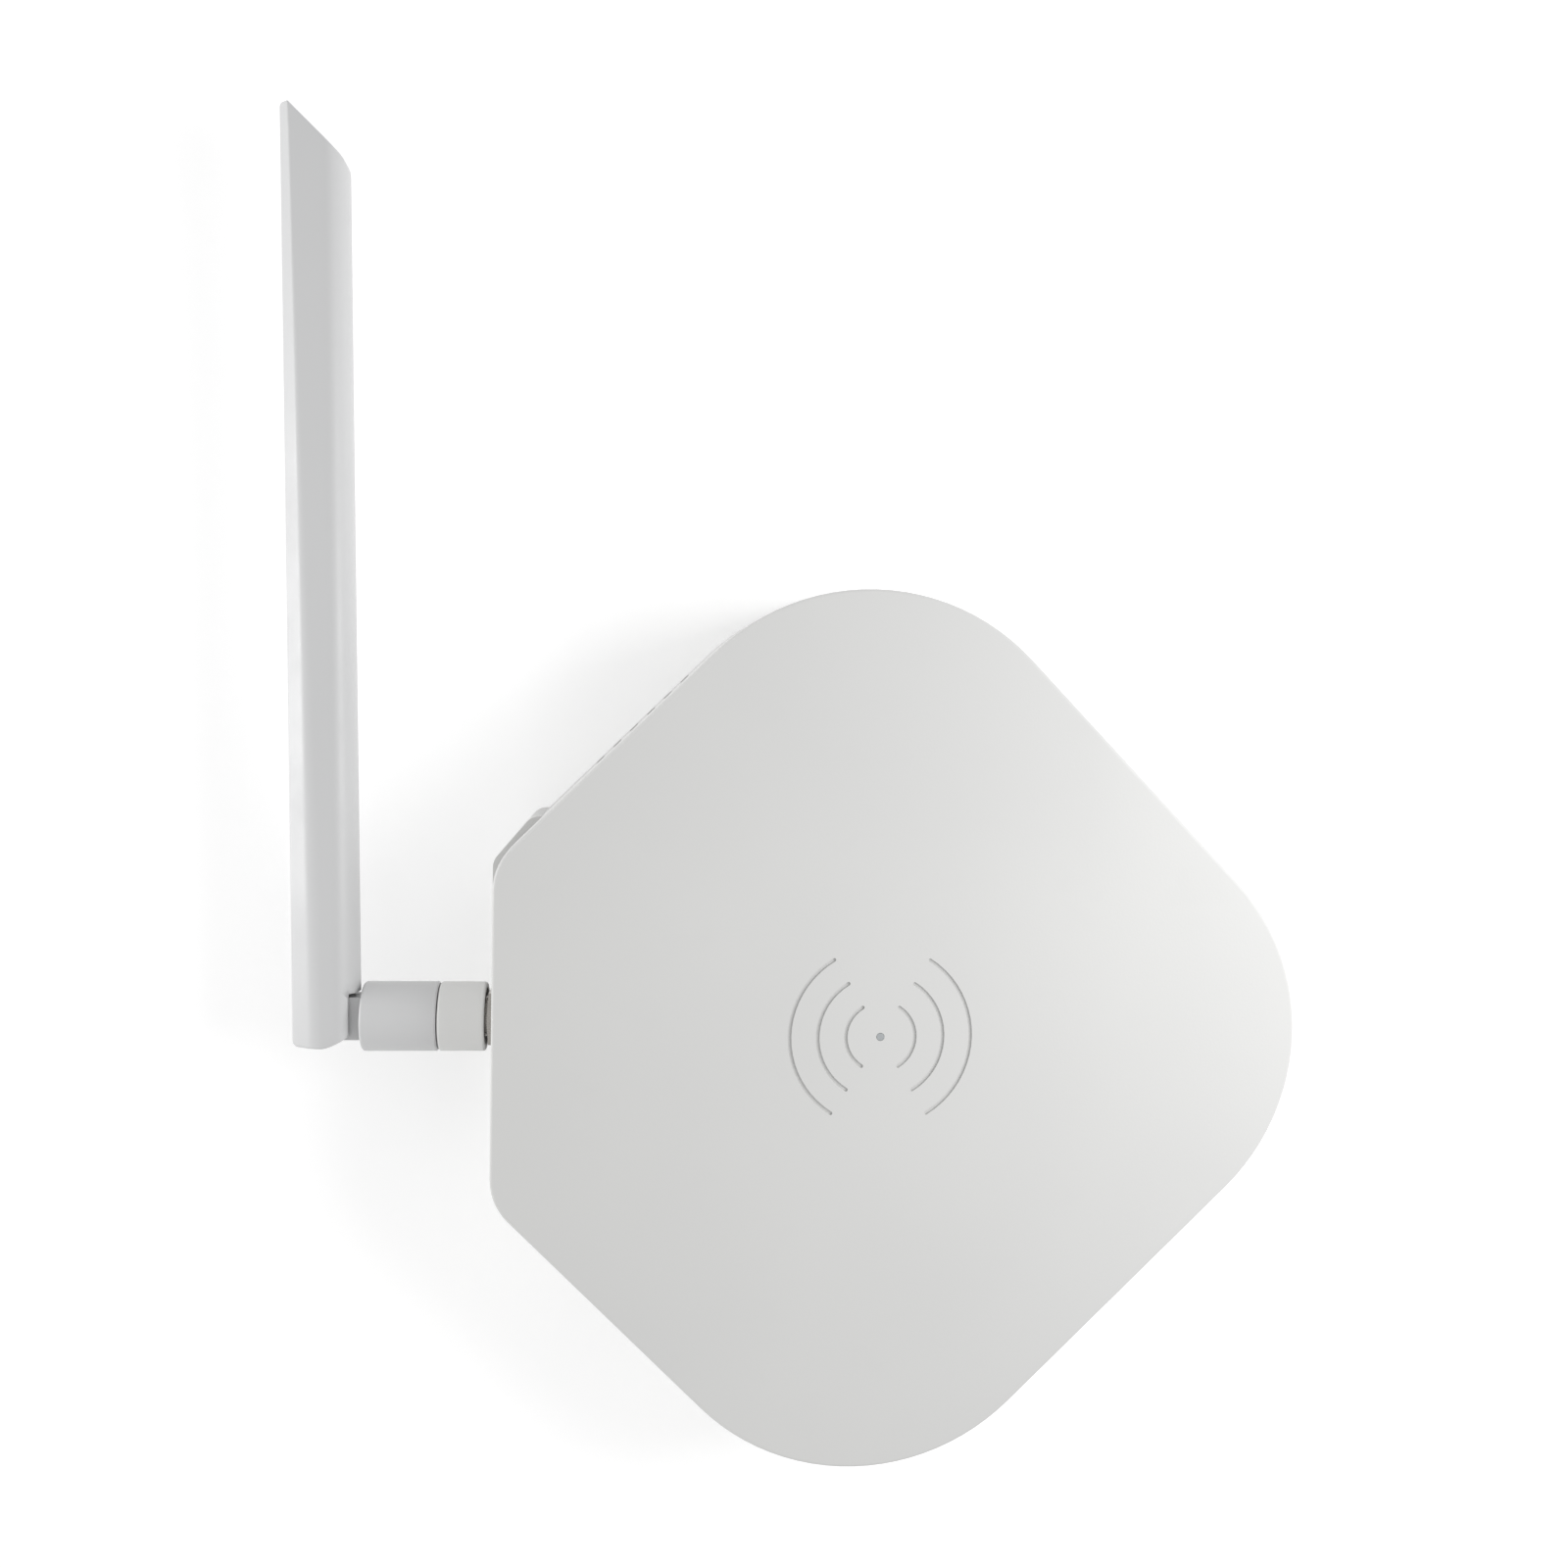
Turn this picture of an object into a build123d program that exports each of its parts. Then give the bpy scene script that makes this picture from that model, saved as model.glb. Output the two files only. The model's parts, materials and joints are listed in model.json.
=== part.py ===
"""Small wireless router with one folding paddle antenna.

Millimetres, +Z up. The origin is the middle of the square housing, on the surface it stands on.
The port side, with the antenna, faces -X. The antenna is folded to point along +Y.
"""

from build123d import *
import os
from math import atan2, cos, degrees, hypot, pi, radians, sin, sqrt, tan

# ---- working allowances
past = 1.0              # how far a cutter runs past the face that it opens
weld = 0.1              # how far two joined shapes run into each other
thread_play = 0.05      # room round a screw, a pin or the light pipe

# ---- housing
half_diagonal = 80.0
corner_radius = 33.3
rear_wall_x = -55.0
rear_corner_radius = 9.0
height = 27.5
foot_height = 1.5
split_z = 20.5
wall = 2.0
top_wall = 2.2
top_edge_radius = 0.5
case_edge = 2.0
floor_z = foot_height + wall

# ---- port block: the part of the case that stands proud of the cover on the port side
block_x = -55.6
block_flat = 24.9
block_shoulder_x = -50.0
block_half = 31.6
block_root_x = -40.0
block_edge_radius = 2.5
bay_x = block_x + wall
bay_half = 23.0

# ---- lip of the cover, inside the case wall
lip_z = 19.4
lip_gap = 0.15
lip_wall = 1.1
lip_root = 1.5

# ---- case screws, from below through the case posts into the cover's bosses
case_screw_places = [(57, 0), (0, 57), (0, -57), (-40, 32), (-40, -32)]
post_top = 9.4
post_radius = 3.5
boss_radius = 3.0
screw_head_radius = 2.5
screw_head_height = 1.6
screw_radius = 1.3
screw_bite = 6.0
head_seat_z = 5.4
head_play = 0.3
drive_core = 0.45
drive_reach = 1.2
drive_width = 0.5
drive_depth = 0.9

# ---- board screws
board_screw_places = [(44, 0), (0, 47), (0, -47), (-36, 22.5), (-30, -30)]
standoff_radius = 2.6
board_screw_radius = 0.9
board_head_radius = 1.9
board_head_height = 1.3
board_screw_end = 3.2
board_drive_reach = 1.0
board_drive_width = 0.4

# ---- base plate in the floor, with the wall hangers, vents and label
plate_radius = 38.0
plate_gap = 0.15
rim_inner = 36.3
rim_outer = 39.6
rim_tall = 1.0
hanger_y = 30.0
hanger_radius = 3.6
hanger_slot = 7.5
hanger_half = 1.8
vent_count = 9
vent_first_x = -27.0
vent_pitch = 3.6
vent_half = 0.9
vent_reach = 11.0
label_area = (10, 34, -11, 11)
label_sunk = 0.3
label_thick = 0.25

# ---- upright vents in the two diagonal walls beside the port side
side_vent_steps = range(-2, 4)
side_vent_start = 46.0
side_vent_wide = 1.6
side_vent_tall = 8.5
side_vent_deep = 12.0
side_vent_z = 12.5

# ---- ring-shaped foot
foot_outer = 46.0
foot_inner = 41.5
foot_sunk = 0.5
foot_play = 0.1
foot_edge = 0.4

# ---- mark and light on the cover
mark_x = 2.2
mark_y = 0.0
mark_radii = [5.2, 9.4, 13.6]
mark_half_angle = 58
mark_line = 0.55
mark_depth = 0.3
light_radius = 0.55
light_collar = 1.5
light_drop = 0.6

# ---- board
board_bottom = 6.0
board_thick = 1.6
board_top = board_bottom + board_thick
board_inset = 3.7

# ---- chips: place and size (x, y, width, depth, height)
processor = (21.0, 15.0, 14.0, 14.0, 1.2)
memory_chip = (-4.0, 18.0, 9.0, 13.0, 1.0)
flash_chip = (-4.0, 34.0, 5.2, 5.2, 1.8)
radio_chip = (25.0, -19.0, 7.0, 7.0, 0.9)
crystal = (8.0, -20.0, 3.2, 2.5, 0.8)
transformer = (-29.0, -14.5, 12.7, 7.2, 5.0)
status_led = (mark_x, mark_y, 1.6, 0.8, 0.8)
chip_edge = 0.15

# ---- leads of the legged chips
lead_width = 0.4
lead_thick = 0.2
lead_out = 0.7
lead_shoulder = 0.5

# ---- heat sink, shield, coil, capacitors and internal antenna
pad_tall = 0.8
sink_half = 12.0
sink_base = 2.0
sink_tall = 8.0
fin_count = 7
fin_pitch = 3.6
fin_half = 0.6
shield_half_x = 11.0
shield_half_y = 9.0
shield_tall = 3.0
shield_skin = 0.3
shield_hole = 0.6
shield_pitch = 4.0
coil_place = (-22.0, 14.0)
coil_side = 7.0
coil_corner = 1.2
coil_tall = 3.4
capacitor_places = [(-31, 13), (-24, 24), (10, -34)]
capacitor_radius = 3.0
capacitor_tall = 6.0
capacitor_base = 1.0
strip_length = 30.0
strip_thick = 0.6
strip_tall = 8.0
strip_from_middle = 49.5

# ---- network jack
jack_y = transformer[1]
jack_width = 16.0
jack_height = 11.4
jack_front = -55.0
jack_depth = 15.4
jack_skin = 0.4
plug_width = 11.9
plug_depth = 12.2
plug_low = 9.6
plug_high = 16.4
latch_half = 3.1
latch_depth = 9.0
latch_drop = 1.2
contact_count = 8
contact_pitch = 1.02
contact_wide = 0.34
contact_thick = 0.26
port_play = 0.2

# ---- power inlet
usb_y = 12.5
usb_width = 8.94
usb_height = 3.26
usb_corner = 1.5
usb_skin = 0.3
usb_front = -55.2
usb_depth = 7.3
usb_z = board_top + usb_height / 2
usb_mouth_wide = 12.4
usb_mouth_tall = 6.6
usb_mouth_corner = 2.4
usb_back = 2.4
tongue_wide = 6.6
tongue_thick = 0.7

# ---- reset button and its switch
reset_y = 20.6
reset_z = 9.3
reset_radius = 1.3
reset_play = 0.2
reset_flange = 2.0
flange_thick = 0.5
reset_travel = 0.5
switch_half = 2.2
switch_deep = 3.5
switch_tall = 3.4
nub_radius = 0.9
nub_long = 0.5

# ---- antenna base: collar, swivel sleeve and tongue
axis_z = 13.75
base_radius = 5.3
collar_front = -56.9
seam_x = -64.0
seam_gap = 0.16
seam_edge = 0.25
sleeve_end = -75.4
sleeve_edge_radius = 0.5
spigot_radius = 3.6
spigot_end = -68.8
spigot_flange = 0.5
running_gap = 0.3
lead_radius = 0.9
lead_start = -76.8
tongue_radius = 3.25
tongue_half = 2.2
ear_inside = 1.15
pivot_x = -81.35
pin_radius = 1.2
pin_outer = 3.6
pin_relief = 0.1
lean = 0.75

# ---- blade, in its own frame: pivot at the origin, +Y towards the tip
blade_left = -4.4
blade_right = 5.45
blade_top_right = 5.05
blade_bottom = -4.25
blade_tip = 134.3
blade_half = 4.3
blade_mid = (blade_left + blade_right) / 2
tip_peak_x = -3.0
tip_slope_end = (4.3, 127.3)
tip_side_y = 125.4
left_corner_radius = 1.2
cheek_right = 4.1
cheek_low = -2.6
cheek_start_x = 0.3
shoulder_y = 6.5
shoulder_drop = 1.8
fork_half = 2.45
fork_radius = 3.5
bevel_in = 1.75
bevel_down = 1.5
face_bow = 0.15
edge_soft = 0.5

# ---- inside the blade
bore_radius = 2.5
bore_start = 3.0
bore_end = 126.0
lead_turn_end = 9.0
feed_y = 64.0
dipole_tube = (30.0, 62.0, 2.0, 1.5)
dipole_rod = (64.0, 118.0, 0.7)
foam_places = [72.0, 106.0]
foam_long = 5.0

# ---- coaxial jack in the wall
thread_radius = 3.1
thread_root = 0.25
thread_pitch = 0.7
thread_turns = 9
jack_tip_x = -63.0
crimp_end_x = -44.5
crimp_radius = 1.8
core_radius = 2.3
core_hole = 0.7
flange_deep = 1.8
nut_flats = 8.0
nut_deep = 1.3
washer_thick = 0.4
washer_radius = 4.7
recess_radius = 5.2
recess_floor = -54.8
coupling_radius = 4.3
coupling_play = 0.05
collar_step = 0.6
plug_nose_x = -61.7
plug_nose_radius = 2.2
plug_pin_radius = 0.45
plug_pin_end = -57.7

# ---- coax from the wall socket to the board
pigtail_radius = 0.65
pigtail_play = 0.1
pigtail_route = [
    (-44.4, 0, 13.75), (-38.5, 0, 13.75), (-33.0, 1.2, 12.4), (-28.0, 3.6, 10.6), (-23.0, 6.0, 9.35),
    (-17.2, 7.6, 9.15)]
snap_radius = 1.5
snap_tall = 2.1


def block_of(x0, x1, y0, y1, z0, z1):
    """A box from its corners."""
    centre = Pos((x0 + x1) / 2, (y0 + y1) / 2, (z0 + z1) / 2)
    return centre * Box(x1 - x0, y1 - y0, z1 - z0)


def slab(sketch, z0, z1):
    """A flat outline raised from z0 to z1."""
    return Pos(0, 0, z0) * extrude(sketch, z1 - z0)


def post(x, y, z0, z1, radius):
    """An upright cylinder."""
    return Pos(x, y, (z0 + z1) / 2) * Cylinder(radius, z1 - z0)


def ring(outer, inner, z0, z1):
    """A flat ring about the origin."""
    return post(0, 0, z0, z1, outer) - post(0, 0, z0 - past, z1 + past, inner)


def bar(x0, x1, radius, y=0.0, z=axis_z):
    """A cylinder lying along X."""
    return Pos((x0 + x1) / 2, y, z) * Rot(0, 90, 0) * Cylinder(radius, x1 - x0)


def hex_bar(x0, x1, flats, z=axis_z):
    """A hexagonal bar lying along X."""
    profile = RegularPolygon(flats / sqrt(3), 6)
    return Pos(x0, 0, z) * Rot(0, 90, 0) * extrude(profile, x1 - x0)


def group(solids):
    """Several like pieces kept as separate solids in one node."""
    return Compound(children=list(solids))


def top_edges(shape):
    """The edges of the highest face."""
    return shape.faces().sort_by(Axis.Z)[-1].edges()


def bottom_edges(shape):
    """The edges of the lowest face."""
    return shape.faces().sort_by(Axis.Z)[0].edges()


def plan(inset=0.0):
    """Outline of the housing: a square on its corner, cut off flat on the port side."""
    reach = half_diagonal - inset * sqrt(2)
    rear = rear_wall_x + inset
    corner = reach + rear
    outline = Polygon((reach, 0), (0, reach), (rear, corner), (rear, -corner), (0, -reach), align=None)
    large = outline.vertices().filter_by(lambda v: v.X > rear + weld)
    outline = fillet(large, corner_radius - inset)
    small = outline.vertices().filter_by(lambda v: v.X < rear + weld)
    return fillet(small, rear_corner_radius - inset)


def port_block():
    """Outline of the block that holds the ports."""
    outline = Polygon(
        (block_root_x, -block_half), (block_root_x, block_half), (block_shoulder_x, block_half),
        (block_x, block_flat), (block_x, -block_flat), (block_shoulder_x, -block_half), align=None)
    soft = outline.vertices().filter_by(lambda v: v.X < block_root_x - weld)
    return fillet(soft, block_edge_radius)


def port_bay():
    """Room inside the port block."""
    return Pos((bay_x + block_root_x) / 2, 0) * Rectangle(block_root_x - bay_x, 2 * bay_half)


def mark_lines():
    """The engraved mark: a light with three nested arcs on each side, with round ends."""
    strokes = Sketch()
    for radius in mark_radii:
        for start in (-mark_half_angle, 180 - mark_half_angle):
            arc = CenterArc((mark_x, mark_y), radius, start, 2 * mark_half_angle)
            strokes += SlotArc(arc, mark_line)
    return strokes


def top_cover():
    """Flat-topped cover with a skirt, a lip that enters the case, and five screw bosses."""
    ceiling = height - top_wall
    lip_inside = plan(wall + lip_gap + lip_wall)
    cover = slab(plan(), split_z, height)
    cover = fillet(top_edges(cover), top_edge_radius)
    cover -= slab(plan(wall), split_z - past, ceiling)
    cover += slab(plan(wall - weld) - lip_inside, split_z, split_z + lip_root)
    cover += slab(plan(wall + lip_gap) - lip_inside, lip_z, split_z)
    for x, y in case_screw_places:
        cover += post(x, y, post_top, ceiling + weld, boss_radius)
        cover -= post(x, y, post_top - past, post_top + screw_bite + past, screw_radius + thread_play)
    cover -= slab(mark_lines(), height - mark_depth, height + past)
    return cover - post(mark_x, mark_y, ceiling - past, height + past, light_radius + thread_play)


def side_vent(side, step):
    """Cutter for one upright slot in a diagonal rear wall; side is 1 or -1."""
    along = (side_vent_start + vent_pitch * step) / sqrt(2)
    cutter = Rot(0, 0, 45 * side) * Box(side_vent_wide, side_vent_deep, side_vent_tall)
    return Pos(-along, side * (half_diagonal - along), side_vent_z) * cutter


def port_openings():
    """Cutters for everything that opens in the port wall."""
    low = jack_y - jack_width / 2 - port_play
    high = jack_y + jack_width / 2 + port_play
    inlet = RectangleRounded(usb_height + 2 * port_play, usb_width + 2 * port_play, usb_corner + port_play)
    mouth = RectangleRounded(usb_mouth_tall, usb_mouth_wide, usb_mouth_corner)
    return [
        block_of(block_x - past, bay_x + past, low, high,
                 board_top - weld, board_top + jack_height + port_play),
        Pos(bay_x + past, usb_y, usb_z) * Rot(0, -90, 0) * extrude(inlet, wall + 2 * past),
        Pos(block_x + wall / 2, usb_y, usb_z) * Rot(0, -90, 0) * extrude(mouth, wall),
        bar(block_x - past, bay_x + past, thread_radius + weld),
        bar(block_x - past, recess_floor, recess_radius),
        bar(block_x - past, bay_x + past, reset_radius + reset_play, reset_y, reset_z)]


def bottom_case():
    """Open tray with the port block, posts, standoffs, side vents and a round hole for the base plate."""
    case = slab(plan() + port_block(), foot_height, split_z)
    case = chamfer(bottom_edges(case), case_edge)
    case -= slab(plan(wall) + port_bay(), floor_z, split_z + past)
    for x, y in case_screw_places:
        case += post(x, y, floor_z - wall / 4, post_top, post_radius)
        case -= post(x, y, foot_height - past, head_seat_z, screw_head_radius + head_play)
        case -= post(x, y, head_seat_z - past, post_top + past, screw_radius + thread_play)
    pilot = board_screw_radius + thread_play
    for x, y in board_screw_places:
        case += post(x, y, floor_z - wall / 4, board_bottom, standoff_radius)
        case -= post(x, y, board_screw_end - thread_play, board_bottom + past, pilot)
    for side in (1, -1):
        for step in side_vent_steps:
            case -= side_vent(side, step)
    case -= post(0, 0, foot_height - past, floor_z + past, plate_radius)
    case -= ring(foot_outer, foot_inner, foot_height - past, foot_height + foot_sunk)
    for cutter in port_openings():
        case -= cutter
    return case


def hanger(side):
    """Cutter for one wall hanger: a round entry with a narrower slot; side is 1 or -1."""
    y = side * hanger_y
    low = foot_height - past
    high = floor_z + past
    slot = block_of(0, hanger_slot, y - hanger_half, y + hanger_half, low, high)
    return post(0, y, low, high, hanger_radius) + slot


def base_plate():
    """Round plate that drops into the floor, with a rim that rests on it from inside."""
    plate = post(0, 0, foot_height, floor_z + weld, plate_radius - plate_gap)
    plate += ring(rim_outer, rim_inner, floor_z, floor_z + rim_tall)
    plate -= post(0, 0, floor_z, floor_z + past, rim_inner)
    vent = Box(2 * vent_half, 2 * vent_reach, wall + 2 * past)
    for step in range(vent_count):
        plate -= Pos(vent_first_x + vent_pitch * step, 0, (foot_height + floor_z) / 2) * vent
    for side in (1, -1):
        plate -= hanger(side)
    return plate - block_of(*label_area, foot_height - past, foot_height + label_sunk)


def rating_label():
    """Blank label in its recess."""
    return block_of(*label_area, foot_height + label_sunk - label_thick, foot_height + label_sunk)


def rubber_foot():
    """The soft ring that the router stands on."""
    foot = ring(foot_outer - foot_play, foot_inner + foot_play, 0, foot_height + foot_sunk)
    return chamfer(bottom_edges(foot), foot_edge)


def case_screw(x, y):
    """Screw from below, through the case post and into the cover boss."""
    head_z = head_seat_z - screw_head_height
    head = post(x, y, head_z, head_seat_z, screw_head_radius)
    drive = post(x, y, head_z - past, head_z + drive_depth, drive_core)
    for angle in (0, 90):
        drive += Pos(x, y, head_z) * Rot(0, 0, angle) * Box(2 * drive_reach, drive_width, 2 * drive_depth)
    return head - drive + post(x, y, head_seat_z, post_top + screw_bite, screw_radius)


def board_screw(x, y):
    """Small screw that holds the board on its standoff."""
    top = board_top + board_head_height
    head = post(x, y, board_top, top, board_head_radius)
    head = chamfer(top_edges(head), 0.3)
    drive = Box(2 * board_drive_reach, board_drive_width, board_head_height)
    for angle in (0, 90):
        head -= Pos(x, y, top) * Rot(0, 0, angle) * drive
    return head + post(x, y, board_screw_end, board_top, board_screw_radius)


def main_board():
    """Circuit board that follows the housing, cut round the case posts."""
    board = slab(plan(board_inset), board_bottom, board_top)
    for x, y in case_screw_places:
        board -= post(x, y, board_bottom - past, board_top + past, post_radius + 0.6)
    for x, y in board_screw_places:
        board -= post(x, y, board_bottom - past, board_top + past, board_screw_radius + 0.2)
    return board


def chip(x, y, width, depth, tall):
    """A moulded chip with a chamfered top."""
    body = block_of(x - width / 2, x + width / 2, y - depth / 2, y + depth / 2, board_top, board_top + tall)
    return chamfer(top_edges(body), chip_edge)


def lead_run(x, near, far, z0, z1):
    """One stretch of a chip lead, between two places across the chip."""
    return block_of(x - lead_width / 2, x + lead_width / 2, min(near, far), max(near, far), z0, z1)


def legged_chip(x, y, width, depth, tall, count):
    """A chip with a row of bent leads along two sides."""
    body = Pos(0, 0, lead_thick) * chip(x, y, width, depth, tall)
    shoulder = board_top + lead_shoulder
    for index in range(count):
        lead_x = x + width * ((index + 0.5) / count - 0.5)
        for side in (1, -1):
            edge = y + side * depth / 2
            outside = edge + side * lead_out
            body += lead_run(lead_x, edge - side * lead_thick, outside, shoulder, shoulder + lead_thick)
            body += lead_run(lead_x, outside - side * lead_thick, outside, board_top, shoulder + lead_thick)
    return body


def thermal_pad():
    """Soft pad between the processor and the heat sink."""
    x, y, width, depth, tall = processor
    low = board_top + tall
    return block_of(x - width / 2, x + width / 2, y - depth / 2, y + depth / 2, low, low + pad_tall)


def heat_sink():
    """Finned block over the processor."""
    x, y = processor[:2]
    low = board_top + processor[4] + pad_tall
    sink = block_of(x - sink_half, x + sink_half, y - sink_half, y + sink_half, low, low + sink_base)
    fin = Box(2 * fin_half, 2 * sink_half, sink_tall)
    for step in range(fin_count):
        sink += Pos(x + fin_pitch * (step - (fin_count - 1) / 2), y, low + sink_tall / 2) * fin
    return sink


def shield_can():
    """Folded metal can over the radio, open underneath, with small holes in its lid."""
    x, y = radio_chip[:2]
    inside_x = shield_half_x - shield_skin
    inside_y = shield_half_y - shield_skin
    lid = board_top + shield_tall - shield_skin
    can = block_of(x - shield_half_x, x + shield_half_x, y - shield_half_y, y + shield_half_y,
                   board_top, board_top + shield_tall)
    can -= block_of(x - inside_x, x + inside_x, y - inside_y, y + inside_y, board_top - past, lid)
    for column in range(-2, 3):
        for row in (-1.5, -0.5, 0.5, 1.5):
            hole_x = x + shield_pitch * column
            hole_y = y + shield_pitch * row
            can -= post(hole_x, hole_y, lid - past, lid + past, shield_hole)
    return can


def capacitor(x, y):
    """Can capacitor on a small plastic base."""
    half = capacitor_radius + 0.2
    base_top = board_top + capacitor_base
    base = block_of(x - half, x + half, y - half, y + half, board_top, base_top)
    can = post(x, y, base_top, base_top + capacitor_tall, capacitor_radius)
    return base + fillet(top_edges(can), 0.4)


def power_inductor():
    """Square moulded coil with rounded corners."""
    outline = Pos(*coil_place) * RectangleRounded(coil_side, coil_side, coil_corner)
    coil = slab(outline, board_top, board_top + coil_tall)
    return chamfer(top_edges(coil), 0.3)


def internal_antenna():
    """Small second antenna: a slotted strip standing at the board's edge."""
    slot = Box(16, 2 * strip_thick, 1.2)
    strip = Box(strip_length, strip_thick, strip_tall)
    strip -= Pos(4, 0, 1) * slot
    strip -= Pos(-4, 0, -2) * slot
    strip += Pos(-12, 1, 0.2 - strip_tall / 2) * Box(3, 2, 0.4)
    edge = strip_from_middle / sqrt(2)
    return Pos(edge, -edge, board_top + strip_tall / 2) * Rot(0, 0, 45) * strip


def status_light():
    """Clear rod that carries the light up to the mark, with a flange under the cover."""
    ceiling = height - top_wall
    pipe = post(mark_x, mark_y, board_top + status_led[4] + light_drop, height, light_radius)
    return pipe + post(mark_x, mark_y, ceiling - 1.0, ceiling, light_collar)


def ethernet_shell():
    """Folded metal shell of the network jack."""
    low = jack_y - jack_width / 2
    high = jack_y + jack_width / 2
    back = jack_front + jack_depth
    top = board_top + jack_height
    shell = block_of(jack_front, back, low, high, board_top, top)
    return shell - block_of(jack_front - past, back - jack_skin, low + jack_skin, high - jack_skin,
                            board_top - past, top - jack_skin)


def ethernet_insulator():
    """Moulded body of the jack, with the plug's opening and the latch notch."""
    low = jack_y - jack_width / 2 + jack_skin
    high = jack_y + jack_width / 2 - jack_skin
    front = jack_front + 0.3
    back = jack_front + jack_depth - jack_skin
    body = block_of(front, back, low, high, board_top, board_top + jack_height - jack_skin)
    body -= block_of(front - past, front + plug_depth, jack_y - plug_width / 2, jack_y + plug_width / 2,
                     plug_low, plug_high)
    return body - block_of(front - past, front + latch_depth, jack_y - latch_half, jack_y + latch_half,
                           plug_low - latch_drop, plug_low + past)


def ethernet_contact(index):
    """One sprung wire, slanting down into the plug's opening."""
    y = jack_y + contact_pitch * (index - (contact_count - 1) / 2)
    seat_z = plug_high - 0.15
    rise = Polyline((-52.6, seat_z), (-45.0, seat_z - 0.95), (-43.4, seat_z))
    wire = extrude(Plane.XZ * trace(rise, contact_thick), contact_wide)
    return Pos(0, y + contact_wide / 2, 0) * wire


def usb_inlet():
    """Metal shell of the power inlet."""
    outer = RectangleRounded(usb_height, usb_width, usb_corner)
    inner = RectangleRounded(usb_height - 2 * usb_skin, usb_width - 2 * usb_skin, usb_corner - usb_skin)
    place = Pos(usb_front, usb_y, usb_z) * Rot(0, 90, 0)
    return place * extrude(outer, usb_depth) - place * extrude(inner, usb_depth - usb_skin)


def usb_tongue():
    """Contact tongue inside the power inlet, with its back block."""
    inside = usb_skin + thread_play
    profile = RectangleRounded(usb_height - 2 * inside, usb_width - 2 * inside, usb_corner - inside)
    back_x = usb_front + usb_depth - usb_back
    back = Pos(back_x, usb_y, usb_z) * Rot(0, 90, 0) * extrude(profile, usb_back - usb_skin)
    return back + block_of(usb_front + past, back_x + weld, usb_y - tongue_wide / 2, usb_y + tongue_wide / 2,
                           usb_z - tongue_thick / 2, usb_z + tongue_thick / 2)


def reset_switch():
    """Side-facing switch behind the reset button."""
    nub_x = bay_x + reset_play + flange_thick + reset_travel + thread_play
    body_x = nub_x + nub_long
    body = block_of(body_x, body_x + switch_deep, reset_y - switch_half, reset_y + switch_half,
                    board_top, board_top + switch_tall)
    return body + bar(nub_x, body_x, nub_radius, reset_y, reset_z)


def reset_button():
    """Small button, held in by its flange."""
    flange_x = bay_x + reset_play
    stem = bar(block_x + reset_play, flange_x + weld, reset_radius, reset_y, reset_z)
    return stem + bar(flange_x, flange_x + flange_thick, reset_flange, reset_y, reset_z)


def antenna_jack():
    """Threaded bulkhead socket with a hexagonal flange behind the wall and a crimp barrel."""
    jack = bar(jack_tip_x, bay_x, thread_radius) + hex_bar(bay_x, bay_x + flange_deep, nut_flats)
    jack += bar(bay_x + flange_deep, crimp_end_x, crimp_radius)
    root = thread_radius - thread_root
    for turn in range(thread_turns):
        x = jack_tip_x + 0.6 + thread_pitch * turn
        jack -= bar(x - 0.15, x + 0.15, thread_radius + past) - bar(x - 0.2, x + 0.2, root)
    jack -= bar(jack_tip_x - past, bay_x, core_radius)
    return jack - bar(bay_x - past, crimp_end_x + past, pigtail_radius + pigtail_play)


def jack_core():
    """Insulator and centre contact of the wall socket."""
    return bar(jack_tip_x + 1.5, bay_x, core_radius - thread_play) - bar(jack_tip_x, -57.5, core_hole)


def jack_nut():
    """Hexagonal nut outside the wall."""
    back = recess_floor - washer_thick
    nut = hex_bar(back - nut_deep, back, nut_flats)
    return nut - bar(back - nut_deep - past, back + past, thread_radius + 0.02)


def jack_washer():
    """Washer under the nut."""
    washer = bar(recess_floor - washer_thick, recess_floor, washer_radius)
    return washer - bar(recess_floor - past, recess_floor + past, thread_radius + weld)


def coupling_nut():
    """Threaded nut inside the collar, with a shoulder behind the plug's flange."""
    start = seam_x + collar_step
    nut = bar(start, collar_front - 0.5, coupling_radius)
    nut -= bar(jack_tip_x - 0.1, collar_front + past, thread_radius + weld)
    return nut - bar(start - past, collar_front, 2.5)


def antenna_plug():
    """The antenna's own plug: a centre pin, and a hollow spigot that the sleeve turns on."""
    face_x = seam_x + collar_step
    plug = bar(spigot_end, face_x, spigot_radius) + bar(face_x - weld, plug_nose_x, plug_nose_radius)
    plug += bar(plug_nose_x - weld, plug_pin_end, plug_pin_radius)
    plug += bar(spigot_end, spigot_end + 1.0, spigot_radius + spigot_flange)
    return plug - bar(spigot_end - past, face_x + 0.2, lead_radius + 0.1)


def antenna_collar():
    """Fixed outer collar that covers the coupling nut."""
    collar = bar(seam_x + seam_gap / 2, collar_front, base_radius)
    collar = chamfer(collar.edges().filter_by(GeomType.CIRCLE), seam_edge)
    collar -= bar(seam_x + collar_step, collar_front + past, coupling_radius + coupling_play)
    return collar - bar(seam_x - past, seam_x + past, spigot_radius + thread_play)


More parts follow.
